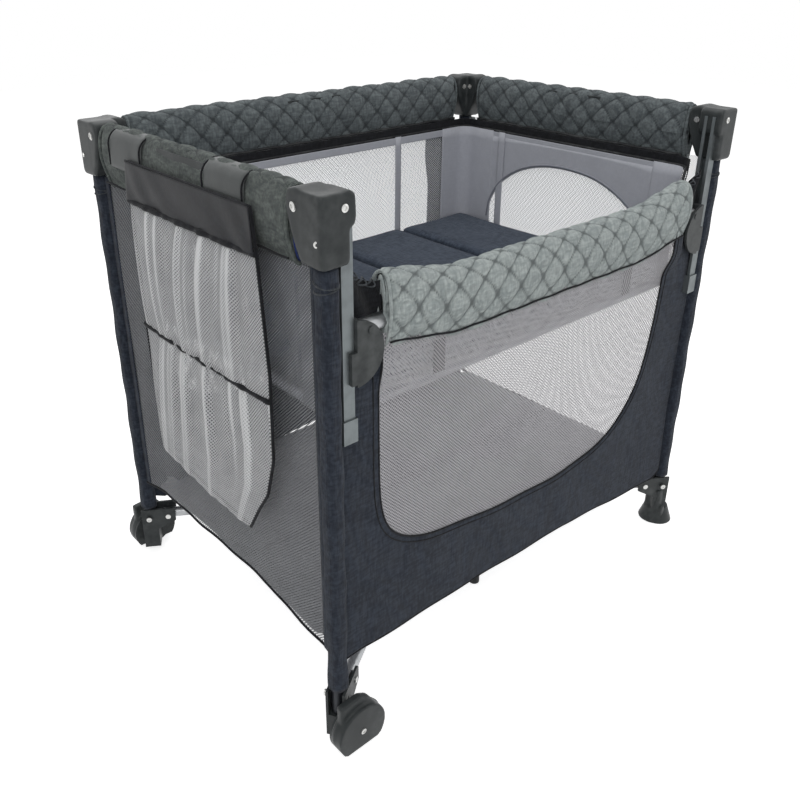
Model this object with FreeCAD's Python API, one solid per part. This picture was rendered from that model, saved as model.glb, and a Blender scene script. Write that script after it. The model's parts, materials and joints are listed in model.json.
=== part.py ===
"""Travel play yard: a folding steel frame with a drop side, a zip-in bassinet and a folding mattress.

Frame: X runs along the long side, Y across, Z up. The origin is on the floor, midway between the four posts.
The drop side is at -Y, and the wheels and organiser are at -X. All sizes are in millimetres.
"""
import FreeCAD, Part
import math
import os

V = FreeCAD.Vector

# ---- driving dimensions ---------------------------------------------------
post_gap_x = 860.0          # post axis to post axis, long side
post_gap_y = 600.0          # post axis to post axis, short side
cap_top_z = 854.0
fold_reach = 80.0           # post axis to rail pin plus latch pin to rail centre, on every rail
cap_pin_reach = 30.0        # post axis to the rail's pin in the cap
slider_pin_reach = 55.0     # post axis to the rail's pin in the slider
rail_drop = 22.0            # cap top to rail axis
front_rail_z = 675.0        # axis of the lowered drop rail
pin_r = 3.0
pin_play = 0.3              # radial play of a pin in a tube
pin_head_r = 5.0
pin_head = 1.6
side_play = 0.6             # a tube between two cheeks
turn_play = 1.0             # round a tube's end as it turns
tube_stub = 9.0             # tube past its pin
tube_wall = 1.2
rail_r = 11.0
post_r = 11.0
lower_r = 10.0
post_top = 14.0             # post's end below the cap's top

# corner caps
cap_half = 20.0
cap_height = 86.0
cap_lobe_past_pin = 14.0
cap_corner_r = 9.0
cap_base_half = 20.0
lobe_bottom_rise = 30.0     # the lobe's tip above the cap's bottom

# feet and casters
lower_z = 88.0              # axis of the lower tubes
foot_pin_reach = 36.0       # post axis to the lower tube's pin, towards the hub
cheek = 4.0
foot_post_z = 45.0          # bottom of the post in its foot
foot_top_past = 18.0        # cheeks above the lower tube's axis
foot_waist_z = 60.0
foot_pad_r = 30.0
foot_pad_top_r = 19.0
foot_pad_height = 32.0
foot_pad_shift = 5.0        # pad's centre, outward of the post
wheel_r = 38.0
wheel_width = 19.0
wheel_in_x = 13.0           # wheel's centre, inboard of the post
wheel_out_y = 28.0          # wheel's centre, outboard of the post
wheel_play = 2.0            # round the tread, in the hood
wheel_side_play = 0.8
axle_r = 4.0
axle_play = 0.1
hood_wall = 3.0
hood_mouth_z = 12.0
tyre_edge_r = 4.0

# drop-side guides and sliders
guide_from = 14.0           # post axis to the guide's near face
guide_width = 18.0
guide_depth = 20.0
guide_wall = 1.6
guide_slot = 9.0
guide_bottom_z = 535.0
guide_in_cap = 12.0         # guide's end below the cap's top
stop_low_z = 523.0
stop_height = 34.0
stop_wall = 2.5
slider_half = 16.0
slider_end = 76.0           # post axis to the D-shaped plate's far edge
slider_up = 17.0            # plate above and below its pin
slider_down = 73.0
slide_play = 0.5
shoe_top = 25.0             # shoe below the pin
shoe_height = 44.0
hook_length = 9.0

# centre latches
latch_past_pin = 14.0
latch_half = 15.0
latch_wall_top = 14.0
latch_floor = 3.8
button_half = 6.5
button_height = 15.0
button_proud = 5.0
button_play = 0.5
button_travel_room = 6.0

# rail covers and guards
cover_half = 22.0
cover_play = 0.4
cover_ceiling = 16.0
cover_top = 23.0            # cover's top above the rail's axis
cover_low = 80.0            # cover's hem below the rail's axis
cover_cap_gap = 2.0
front_cover_top = 40.0
front_cover_low = 60.0
front_cover_gap = 4.0
guard_r = 17.0
guard_rear = (105.0, 205.0)     # rear guard's ends, from the rail's centre
guard_front = (70.0, 165.0)     # front guard's ends, from the rail's centre
guard_window_low = 18.0

# hub and centre legs
hub_past_pin_x = 17.0
hub_past_pin_y = 17.0
hub_low = 14.0
hub_high = 22.0
hub_ceiling = 15.0
hub_boss_r = 30.0
hub_boss_top_z = 137.0
hub_corner = 18.0
leg_offset_x = 12.0
leg_pin_y = 45.0
leg_foot_y = 190.0
leg_half = 8.0
leg_stub = 8.0
leg_foot_r = 10.0
leg_play = 0.6

# fabric
cloth = 3.0
seat_gap = 0.3              # soft parts beside what carries them
panel_hem_z = 145.0
left_panel_hem_z = 185.0
panel_top_z = 764.0
front_panel_top_z = 600.0    # between the sliders
front_panel_side_z = 515.0   # beside the posts, under the guide stops
floor_inset = 15.0
bassinet_floor_z = 535.0
bassinet_rim_z = 752.0
bassinet_front_rim_z = 700.0
bassinet_corner_r = 25.0
mattress_half_x = 388.0
mattress_half_y = 262.0
mattress_thick = 25.0
mattress_gap = 1.0          # between panels
mattress_corner_r = 35.0
mattress_panels = 4
organiser_sheet = 2.0
organiser_depth = 20.0
organiser_y = (-190.0, 140.0)
organiser_z = (320.0, 820.0)
lower_pocket_z = (322.0, 550.0)
upper_pocket_z = (562.0, 745.0)

# ---- derived places -------------------------------------------------------
half_x = post_gap_x / 2
half_y = post_gap_y / 2
rail_z = cap_top_z - rail_drop
floor_z = hub_boss_top_z + seat_gap
bassinet_half_x = half_x - cover_half - seat_gap
bassinet_half_y = half_y - cover_half - seat_gap
organiser_back_x = half_x + cover_half + seat_gap
link_x = half_x - fold_reach
link_y = half_y - fold_reach
diagonal = math.hypot(link_x, link_y)
diagonal_angle = math.degrees(math.atan2(link_y, link_x))
hub_pin_x = half_x - foot_pin_reach * link_x / diagonal - link_x
hub_pin_y = half_y - foot_pin_reach * link_y / diagonal - link_y
latch_pin = fold_reach - cap_pin_reach
front_latch_pin = fold_reach - slider_pin_reach
rail_sweep = math.hypot(tube_stub, rail_r) + turn_play
lower_sweep = math.hypot(tube_stub, lower_r) + turn_play
CORNERS = {"front_left": (-1, -1), "back_left": (-1, 1), "front_right": (1, -1), "back_right": (1, 1)}


# ---- helpers --------------------------------------------------------------
def box(x0, x1, y0, y1, z0, z1):
    """A block between two opposite corners."""
    return Part.makeBox(x1 - x0, y1 - y0, z1 - z0, V(x0, y0, z0))


def rod(radius, start, end):
    """A solid cylinder between two points."""
    along = V(*end) - V(*start)
    return Part.makeCylinder(radius, along.Length, V(*start), along)


def tube(radius, wall, start, end):
    """A hollow tube between two points."""
    return rod(radius, start, end).cut(rod(radius - wall, start, end))


def pin(start, end):
    """A pin between two outer faces, with a rivet head on each."""
    a, b = V(*start), V(*end)
    out = (b - a).normalize() * pin_head
    heads = [rod(pin_head_r, tuple(a - out), tuple(a)), rod(pin_head_r, tuple(b), tuple(b + out))]
    return rod(pin_r, start, end).multiFuse(heads).removeSplitter()


def prism_y(points, y0, y1):
    """An outline of (x, z) points, extruded from y0 to y1."""
    wire = Part.makePolygon([V(x, y0, z) for x, z in points + points[:1]])
    return Part.Face(wire).extrude(V(0, y1 - y0, 0))


def prism_x(points, x0, x1):
    """An outline of (y, z) points, extruded from x0 to x1."""
    wire = Part.makePolygon([V(x0, y, z) for y, z in points + points[:1]])
    return Part.Face(wire).extrude(V(x1 - x0, 0, 0))


def round_upright(shape, radius, keep=lambda point: True):
    """Rounds the upright edges whose middle passes the test."""
    edges = []
    for edge in shape.Edges:
        ends = [vertex.Point for vertex in edge.Vertexes]
        if len(ends) == 2 and abs(ends[0].x - ends[1].x) + abs(ends[0].y - ends[1].y) < 1e-6:
            if keep((ends[0] + ends[1]) * 0.5):
                edges.append(edge)
    return shape.makeFillet(radius, edges)


def turned(shape, angle):
    """The shape, turned about the upright axis through the origin."""
    shape = shape.copy()
    shape.rotate(V(0, 0, 0), V(0, 0, 1), angle)
    return shape


def at_corner(shape, corner):
    """Moves a shape drawn for a post at the origin, with the yard towards +X and +Y, to its corner."""
    side_x, side_y = CORNERS[corner]
    if side_x > 0:
        shape = shape.mirror(V(0, 0, 0), V(1, 0, 0))
    if side_y > 0:
        shape = shape.mirror(V(0, 0, 0), V(0, 1, 0))
    return shape.translated(V(side_x * half_x, side_y * half_y, 0))


def save(name, *solids):
    """Writes one node, from one solid or a group of separate solids."""
    shape = solids[0] if len(solids) == 1 else Part.makeCompound(list(solids))
    for solid in shape.Solids:
        if not solid.isValid() or solid.Volume <= 0:
            raise ValueError(name + " is not a valid solid")
    shape.exportStep(os.path.join("parts", name + ".step"))
    print(name, len(shape.Solids), round(sum(solid.Volume for solid in shape.Solids)))


# ---- posts, caps, feet and casters ----------------------------------------
def post():
    return tube(post_r, tube_wall, (0, 0, foot_post_z), (0, 0, cap_top_z - post_top))


def cap_lobe_outline(reach):
    """The side of a lobe that widens upwards, from the post to its tip."""
    low = cap_top_z - cap_height
    return [(0, low), (cap_base_half, low), (reach, low + lobe_bottom_rise), (reach, cap_top_z), (0, cap_top_z)]


def cap(front):
    """A corner cap: a socket over the post, with a slotted lobe for each rail or a pocket for the guide."""
    low = cap_top_z - cap_height
    column = box(-cap_half, cap_half, -cap_half, cap_half, low, cap_top_z)
    column = round_upright(column, cap_corner_r, lambda p: p.x < 0 or p.y < 0)
    tip = cap_pin_reach + cap_lobe_past_pin
    slot_half = rail_r + side_play
    slot_start = cap_pin_reach - rail_sweep
    ceiling = rail_z + rail_sweep
    lobe = prism_x(cap_lobe_outline(tip), -cap_half, cap_half)
    slot = box(-slot_half, slot_half, slot_start, tip + 1, low - 1, ceiling)
    pin_hole = rod(pin_r, (-cap_half, cap_pin_reach, rail_z), (cap_half, cap_pin_reach, rail_z))
    cuts = [slot, pin_hole, rod(post_r, (0, 0, low), (0, 0, cap_top_z - post_top))]
    if front:
        guide_end = guide_from + guide_width
        shoe_high = rail_z - shoe_top + turn_play
        guide_lobe = box(0, guide_end, -cap_half, cap_half, shoe_high, cap_top_z)
        cuts.append(box(guide_from, guide_end + 1, -guide_depth / 2, guide_depth / 2, low - 1,
                        cap_top_z - guide_in_cap))
        body = column.fuse(lobe).fuse(guide_lobe)
    else:
        body = column.fuse(lobe).fuse(prism_y(cap_lobe_outline(tip), -cap_half, cap_half))
        cuts.append(box(slot_start, tip + 1, -slot_half, slot_half, low - 1, ceiling))
        cuts.append(rod(pin_r, (cap_pin_reach, -cap_half, rail_z), (cap_pin_reach, cap_half, rail_z)))
    return body.cut(Part.makeCompound(cuts)).removeSplitter()


def foot_cheeks():
    """Two plates that hold the post and the lower tube's end, drawn with the hub towards +X."""
    inner = post_r + side_play / 2
    top = lower_z + foot_top_past
    end = foot_pin_reach + cap_lobe_past_pin
    outline = [(-post_r - cheek, foot_waist_z), (post_r + cheek, foot_waist_z), (end, lower_z - pin_head_r * 2),
               (end, top - cheek), (end - cheek, top), (-post_r - cheek, top)]
    cheeks = [prism_y(outline, -inner - cheek, -inner), prism_y(outline, inner, inner + cheek)]
    outer = inner + cheek
    holes = [rod(pin_r, (s, -outer, lower_z), (s, outer, lower_z)) for s in (0, foot_pin_reach)]
    return [plate.cut(Part.makeCompound(holes)) for plate in cheeks]


def foot_column(low):
    """The block under the post that joins the two cheeks."""
    half = post_r + side_play / 2 + cheek
    block = box(-post_r - cheek, post_r + cheek, -half, half, low, foot_waist_z)
    socket = rod(post_r, (0, 0, foot_post_z), (0, 0, foot_waist_z))
    return block.cut(socket)


def foot():
    """A foot with a flared pad."""
    pad = Part.makeCone(foot_pad_r, foot_pad_top_r, foot_pad_height, V(-foot_pad_shift, -foot_pad_shift, 0))
    body = [turned(shape, diagonal_angle) for shape in foot_cheeks() + [foot_column(foot_pad_height / 2)]]
    return pad.multiFuse(body).removeSplitter()


def wheel_place():
    """The wheel's inner and outer faces across Y, seen from its post."""
    return -wheel_out_y - wheel_width / 2, -wheel_out_y + wheel_width / 2


def caster_housing():
    """A foot whose hood covers the wheel's top and outer side and carries its axle."""
    outer, inner = wheel_place()
    hood_outer = outer - wheel_side_play - hood_wall
    cavity_outer = outer - wheel_side_play
    cavity_inner = inner + wheel_side_play
    hood_inner = cavity_inner + hood_wall
    space_r = wheel_r + wheel_play
    centre = (wheel_in_x, wheel_r)
    hood = rod(space_r + hood_wall, (centre[0], hood_outer, centre[1]), (centre[0], hood_inner, centre[1]))
    body = [turned(shape, diagonal_angle) for shape in foot_cheeks() + [foot_column(wheel_r / 2)]]
    hood = hood.multiFuse(body)
    space = rod(space_r, (centre[0], cavity_outer, centre[1]), (centre[0], cavity_inner, centre[1]))
    reach = space_r + hood_wall + 1
    mouth = box(centre[0] - reach, centre[0] + reach, hood_outer - 1, half_y, -reach, hood_mouth_z)
    bore = rod(post_r, (0, 0, foot_post_z), (0, 0, foot_waist_z))
    gap = turned(box(foot_pin_reach - lower_sweep, foot_pin_reach * 2, -post_r, post_r, foot_waist_z,
                     lower_z + foot_top_past), diagonal_angle)
    post_room = rod(post_r, (0, 0, foot_waist_z), (0, 0, lower_z + foot_top_past))
    hood = hood.cut(Part.makeCompound([space, mouth])).cut(bore).cut(gap).cut(post_room)
    axle = rod(axle_r, (centre[0], hood_outer, centre[1]), (centre[0], hood_inner, centre[1]))
    return hood.fuse(axle).removeSplitter()


def wheel():
    outer, inner = wheel_place()
    disc = rod(wheel_r, (wheel_in_x, outer, wheel_r), (wheel_in_x, inner, wheel_r))
    disc = disc.makeFillet(tyre_edge_r, [edge for edge in disc.Edges if edge.Closed and edge.Length > 1])
    hole = rod(axle_r + axle_play, (wheel_in_x, outer, wheel_r), (wheel_in_x, inner, wheel_r))
    return disc.cut(hole)


def corner_pins(front):
    """The rivets of one corner: the rails in the cap, and the post and lower tube in the foot."""
    outer = post_r + side_play / 2 + cheek
    pins = [pin((-cap_half, cap_pin_reach, rail_z), (cap_half, cap_pin_reach, rail_z))]
    if not front:
        pins.append(pin((cap_pin_reach, -cap_half, rail_z), (cap_pin_reach, cap_half, rail_z)))
    foot_pin = pin((foot_pin_reach, -outer, lower_z), (foot_pin_reach, outer, lower_z))
    return pins + [turned(foot_pin, diagonal_angle)]


def build_corners():
    for corner, (side_x, side_y) in CORNERS.items():
        front = side_y < 0
        save("post_" + corner, at_corner(post(), corner))
        save("cap_" + corner, at_corner(cap(front), corner))
        save("pins_" + corner, *[at_corner(shape, corner) for shape in corner_pins(front)])
        if side_x < 0:
            save("caster_housing_" + corner, at_corner(caster_housing(), corner))
            save("wheel_" + corner, at_corner(wheel(), corner))
        else:
            save("foot_" + corner, at_corner(foot(), corner))


# ---- drop-side guides and sliders -----------------------------------------
def guide():
    """A C-section channel beside the post, open towards the rail."""
    end = guide_from + guide_width
    half = guide_depth / 2
    top = cap_top_z - guide_in_cap
    section = box(guide_from, end, -half, half, guide_bottom_z, top)
    section = section.cut(box(guide_from + guide_wall, end - guide_wall, -half + guide_wall, half - guide_wall,
                              guide_bottom_z, top))
    return section.cut(box(end - guide_wall, end, -guide_slot / 2, guide_slot / 2, guide_bottom_z, top))


def guide_stop():
    """The plastic end that the channel stands in, and that the slider can rest on."""
    end = guide_from + guide_width
    half = guide_depth / 2
    block = box(guide_from - stop_wall, end + stop_wall, -half - stop_wall, half + stop_wall, stop_low_z,
                stop_low_z + stop_height)
    return block.cut(box(guide_from, end, -half, half, guide_bottom_z, stop_low_z + stop_height))


def slider():
    """A shoe in the channel, and two D-shaped plates outside it that carry the rail's pin."""
    end = guide_from + guide_width
    near = end + slide_play
    inner = rail_r + side_play
    low = front_rail_z - slider_down
    high = front_rail_z + slider_up
    plate_r = (slider_up + slider_down) / 2
    plate = box(near, slider_end, -slider_half, slider_half, low, high)
    curve = rod(plate_r, (slider_end - plate_r, -slider_half, (low + high) / 2),
                (slider_end - plate_r, slider_half, (low + high) / 2))
    flat = box(near - plate_r, slider_end - plate_r, -slider_half, slider_half, low, high)
    plate = plate.common(curve.fuse(flat))
    room_from = slider_pin_reach - rail_sweep
    plate = plate.cut(box(room_from, slider_end + 1, -inner, inner, low - 1, high + 1))
    shoe_z = front_rail_z - shoe_top
    shoe = box(guide_from + guide_wall + slide_play, end - guide_wall - slide_play,
               -guide_depth / 2 + guide_wall + slide_play, guide_depth / 2 - guide_wall - slide_play,
               shoe_z - shoe_height, shoe_z)
    neck = box(end - guide_wall - slide_play - 1, near + 1, -guide_slot / 2 + slide_play,
               guide_slot / 2 - slide_play, shoe_z - shoe_height, shoe_z)
    hook_back = -guide_depth / 2 - slide_play
    hook = box(near - hook_length, near, -slider_half, hook_back, shoe_z - shoe_height, shoe_z)
    pin_ends = [(slider_pin_reach, side * slider_half, front_rail_z) for side in (-1, 1)]
    pin_hole = rod(pin_r, *pin_ends)
    return plate.multiFuse([shoe, neck, hook]).cut(pin_hole).removeSplitter()


def slider_pin():
    return pin((slider_pin_reach, -slider_half, front_rail_z), (slider_pin_reach, slider_half, front_rail_z))


def build_drop_side():
    for side in ("left", "right"):
        corner = "front_" + side
        save("guide_" + side, at_corner(guide(), corner), at_corner(guide_stop(), corner))
        save("slider_" + side, at_corner(slider(), corner), at_corner(slider_pin(), corner))


# ---- top rails ------------------------------------------------------------
def half_tube(length, guard=None):
    """Half a rail along +X from its pin at the origin, with an optional smooth guard between two distances."""
    body = rod(rail_r, (-tube_stub, 0, 0), (length + tube_stub, 0, 0))
    if guard:
        body = body.fuse(rod(guard_r, (guard[0], 0, 0), (guard[1], 0, 0)))
    hole_r = pin_r + pin_play
    cuts = [rod(rail_r - tube_wall, (-tube_stub, 0, 0), (length + tube_stub, 0, 0))]
    cuts += [rod(hole_r, (x, -rail_r, 0), (x, rail_r, 0)) for x in (0, length)]
    return body.cut(Part.makeCompound(cuts)).removeSplitter()


def latch(pin_at):
    """A centre latch: a channel open upwards, with a solid middle that holds the button."""
    end = pin_at + latch_past_pin
    low = -rail_sweep - latch_floor
    web = pin_at - rail_sweep
    slot_half = rail_r + side_play
    body = box(-end, end, -latch_half, latch_half, low, latch_wall_top)
    cuts = [box(web, end + 1, -slot_half, slot_half, -rail_sweep, latch_wall_top + 1),
            box(-end - 1, -web, -slot_half, slot_half, -rail_sweep, latch_wall_top + 1)]
    cuts += [rod(pin_r, (x, -latch_half, 0), (x, latch_half, 0)) for x in (-pin_at, pin_at)]
    room = button_half + button_play
    pocket_top = low - button_proud + button_height + button_travel_room
    cuts.append(box(-room, room, -room, room, low - 1, pocket_top))
    pins = [pin((x, -latch_half, 0), (x, latch_half, 0)) for x in (-pin_at, pin_at)]
    return [body.cut(Part.makeCompound(cuts))] + [flush(shape, latch_half) for shape in pins]


def flush(shape, half):
    """Trims a pin's heads so that it ends just proud of the latch, clear of the rail's cover."""
    proud = half + cover_play / 2
    return shape.common(box(-half_x, half_x, -proud, proud, -rail_sweep, rail_sweep))


def latch_button():
    low = -rail_sweep - latch_floor - button_proud
    return box(-button_half, button_half, -button_half, button_half, low, low + button_height)


def cover(half_length, low, top, windows=()):
    """A padded sleeve of inverted U section along X, with windows cut where guards show."""
    inner = latch_half + cover_play
    body = box(-half_length, half_length, -cover_half, cover_half, -low, top)
    body = body.cut(box(-half_length, half_length, -inner, inner, -low, cover_ceiling))
    for start, end in windows:
        body = body.cut(box(start, end, -cover_half - 1, cover_half + 1, -guard_window_low, top + 1))
    return body


def place_rail(shape, angle, centre):
    """Turns a shape drawn along +X to its rail's direction and moves it to the rail's centre."""
    return turned(shape, angle).translated(V(*centre))


def build_rail(name, halves, angle, centre, half_gap, reach, length, cover_sizes, guards=(None, None),
               windows=()):
    """One top rail: two halves, the latch, its button and the cover."""
    low, top, gap = cover_sizes
    start = -half_gap + reach
    pin_at = fold_reach - reach
    first = half_tube(length, guards[0]).translated(V(start, 0, 0))
    second = turned(half_tube(length, guards[1]), 180).translated(V(-start, 0, 0))
    save("rail_" + name + "_" + halves[0], place_rail(first, angle, centre))
    save("rail_" + name + "_" + halves[1], place_rail(second, angle, centre))
    save("latch_" + name, *[place_rail(shape, angle, centre) for shape in latch(pin_at)])
    save("latch_button_" + name, place_rail(latch_button(), angle, centre))
    save("rail_cover_" + name, place_rail(cover(half_gap - gap, low, top, windows), angle, centre))


def build_rails():
    cap_end = cap_pin_reach + cap_lobe_past_pin + cover_cap_gap
    sizes = (cover_low, cover_top, cap_end)
    across = ("rear_half", "front_half")
    along = ("left_half", "right_half")
    rear_guard = tuple(half_y - cap_pin_reach - d for d in reversed(guard_rear))
    front_guard = tuple(half_y - cap_pin_reach - d for d in reversed(guard_front))
    windows = ((-guard_rear[1] - 1, -guard_rear[0] + 1), (guard_front[0] - 1, guard_front[1] + 1))
    build_rail("left", across, -90, (-half_x, 0, rail_z), half_y, cap_pin_reach, link_y, sizes,
               (rear_guard, front_guard), windows)
    build_rail("right", across, -90, (half_x, 0, rail_z), half_y, cap_pin_reach, link_y, sizes)
    build_rail("back", along, 0, (0, half_y, rail_z), half_x, cap_pin_reach, link_x, sizes)
    front_sizes = (front_cover_low, front_cover_top, slider_end + front_cover_gap)
    build_rail("front", along, 0, (0, -half_y, front_rail_z), half_x, slider_pin_reach, link_x, front_sizes)


# ---- lower frame ----------------------------------------------------------
def lower_tube():
    """A diagonal tube from the foot's pin to the hub's pin, drawn from its post at the origin."""
    ends = (foot_pin_reach - tube_stub, foot_pin_reach + diagonal + tube_stub)
    body = tube(lower_r, tube_wall, (ends[0], 0, lower_z), (ends[1], 0, lower_z))
    for x in (foot_pin_reach, foot_pin_reach + diagonal):
        body = body.cut(rod(pin_r + pin_play, (x, -lower_r, lower_z), (x, lower_r, lower_z)))
    return turned(body, diagonal_angle)


def quarter_turns(shape):
    """The same shape in each of the four quarters of the yard, by mirroring."""
    flipped = shape.mirror(V(0, 0, 0), V(1, 0, 0))
    pair = [shape, flipped]
    return pair + [one.mirror(V(0, 0, 0), V(0, 1, 0)) for one in pair]


def hub():
    """The centre hub: a plate slotted for four tubes and two legs, with their pins."""
    size_x = hub_pin_x + hub_past_pin_x
    size_y = hub_pin_y + hub_past_pin_y
    low = lower_z - hub_low
    top = lower_z + hub_high
    body = box(-size_x, size_x, -size_y, size_y, low, top)
    body = body.makeChamfer(hub_corner, [edge for edge in body.Edges if abs(edge.BoundBox.ZLength) > hub_high])
    body = body.fuse(rod(hub_boss_r, (0, 0, top), (0, 0, hub_boss_top_z)))
    half = lower_r + side_play
    slot = box(-lower_sweep, diagonal, -half, half, low - 1, lower_z + lower_sweep)
    slot = turned(slot, diagonal_angle).translated(V(hub_pin_x, hub_pin_y, 0))
    reach = half + cheek
    pin_line = turned(rod(pin_r, (0, -reach, lower_z), (0, reach, lower_z)), diagonal_angle)
    pins = quarter_turns(pin_line.translated(V(hub_pin_x, hub_pin_y, 0)))
    leg_room = leg_half + leg_play
    leg_reach = math.hypot(leg_stub, leg_half) + turn_play
    cuts = quarter_turns(slot)
    for side in (-1, 1):
        x = side * leg_offset_x
        y = (side * (leg_pin_y - leg_reach), side * (size_y + 1))
        cuts.append(box(x - leg_room, x + leg_room, min(y), max(y), low - 1, lower_z + leg_reach))
        pins.append(rod(pin_r, (x - leg_room - cheek, side * leg_pin_y, lower_z),
                        (x + leg_room + cheek, side * leg_pin_y, lower_z)))
    body = body.cut(Part.makeCompound(cuts)).cut(Part.makeCompound(pins))
    return [body] + pins


def centre_leg(side):
    """An arm out from the hub with a round foot under its end."""
    x = side * leg_offset_x
    y = [side * (leg_pin_y - leg_stub), side * leg_foot_y]
    arm = box(x - leg_half, x + leg_half, min(y), max(y), lower_z - leg_half, lower_z + leg_half)
    peg = rod(leg_foot_r, (x, side * leg_foot_y, 0), (x, side * leg_foot_y, lower_z + leg_half))
    pin_y = side * leg_pin_y
    hole = rod(pin_r + pin_play, (x - leg_half, pin_y, lower_z), (x + leg_half, pin_y, lower_z))
    return arm.fuse(peg).cut(hole).removeSplitter()


def build_lower_frame():
    for corner in CORNERS:
        save("lower_tube_" + corner, at_corner(lower_tube(), corner))
    save("hub", *hub())
    save("centre_leg_front", centre_leg(-1))
    save("centre_leg_back", centre_leg(1))


# ---- fabric ---------------------------------------------------------------
def build_panels():
    span_x = half_x - post_r - seat_gap
    span_y = half_y - post_r - seat_gap
    half = cloth / 2
    clear_x = half_x - slider_end - front_cover_gap
    sides = box(-span_x, span_x, -half_y - half, -half_y + half, panel_hem_z, front_panel_side_z)
    middle = box(-clear_x, clear_x, -half_y - half, -half_y + half, front_panel_side_z, front_panel_top_z)
    save("panel_front", sides.fuse(middle).removeSplitter())
    save("panel_back", box(-span_x, span_x, half_y - half, half_y + half, panel_hem_z, panel_top_z))
    save("panel_left", box(-half_x - half, -half_x + half, -span_y, span_y, left_panel_hem_z, panel_top_z))
    save("panel_right", box(half_x - half, half_x + half, -span_y, span_y, panel_hem_z, panel_top_z))
    edge_x = half_x - floor_inset
    edge_y = half_y - floor_inset
    save("floor_fabric", box(-edge_x, edge_x, -edge_y, edge_y, floor_z, floor_z + cloth))


def build_bassinet():
    outer = box(-bassinet_half_x, bassinet_half_x, -bassinet_half_y, bassinet_half_y, bassinet_floor_z,
                bassinet_rim_z)
    inner = box(-bassinet_half_x + cloth, bassinet_half_x - cloth, -bassinet_half_y + cloth,
                bassinet_half_y - cloth, bassinet_floor_z + cloth, bassinet_rim_z)
    outer = round_upright(outer, bassinet_corner_r)
    inner = round_upright(inner, bassinet_corner_r - cloth)
    corner = bassinet_half_x - bassinet_corner_r
    lower_front = box(-corner, corner, -bassinet_half_y - 1, -bassinet_half_y + cloth + 1, bassinet_front_rim_z,
                      bassinet_rim_z)
    save("bassinet", outer.cut(inner).cut(lower_front))


def build_mattress():
    """Panels in a row, each hinged to the next at its top edge."""
    low = bassinet_floor_z + cloth + seat_gap
    pitch = 2 * mattress_half_x / mattress_panels
    for index in range(mattress_panels):
        start = -mattress_half_x + index * pitch
        end = start + pitch
        first = index == 0
        last = index == mattress_panels - 1
        x0 = start if first else start + mattress_gap / 2
        x1 = end if last else end - mattress_gap / 2
        panel = box(x0, x1, -mattress_half_y, mattress_half_y, low, low + mattress_thick)
        if first:
            panel = round_upright(panel, mattress_corner_r, lambda p: p.x < -mattress_half_x + 1)
        if last:
            panel = round_upright(panel, mattress_corner_r, lambda p: p.x > mattress_half_x - 1)
        save("mattress_panel_" + str(index + 1), panel)


def build_organiser():
    """A backing sheet with two wide pockets, one above the other, open at the top."""
    inner = -organiser_back_x
    outer = inner - organiser_depth
    y0, y1 = organiser_y
    body = box(inner - organiser_sheet, inner, y0, y1, *organiser_z)
    for z0, z1 in (lower_pocket_z, upper_pocket_z):
        pocket = box(outer, inner, y0, y1, z0, z1)
        space = box(outer + organiser_sheet, inner - organiser_sheet, y0 + organiser_sheet,
                    y1 - organiser_sheet, z0 + organiser_sheet, z1)
        body = body.fuse(pocket.cut(space))
    save("organiser", body.removeSplitter())


def main():
    os.makedirs("parts", exist_ok=True)
    build_corners()
    build_drop_side()
    build_rails()
    build_lower_frame()
    build_panels()
    build_bassinet()
    build_mattress()
    build_organiser()


main()
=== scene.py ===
"""Folding travel play yard with a bassinet insert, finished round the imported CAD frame. Metres, +Z up."""
import json
import math

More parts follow.
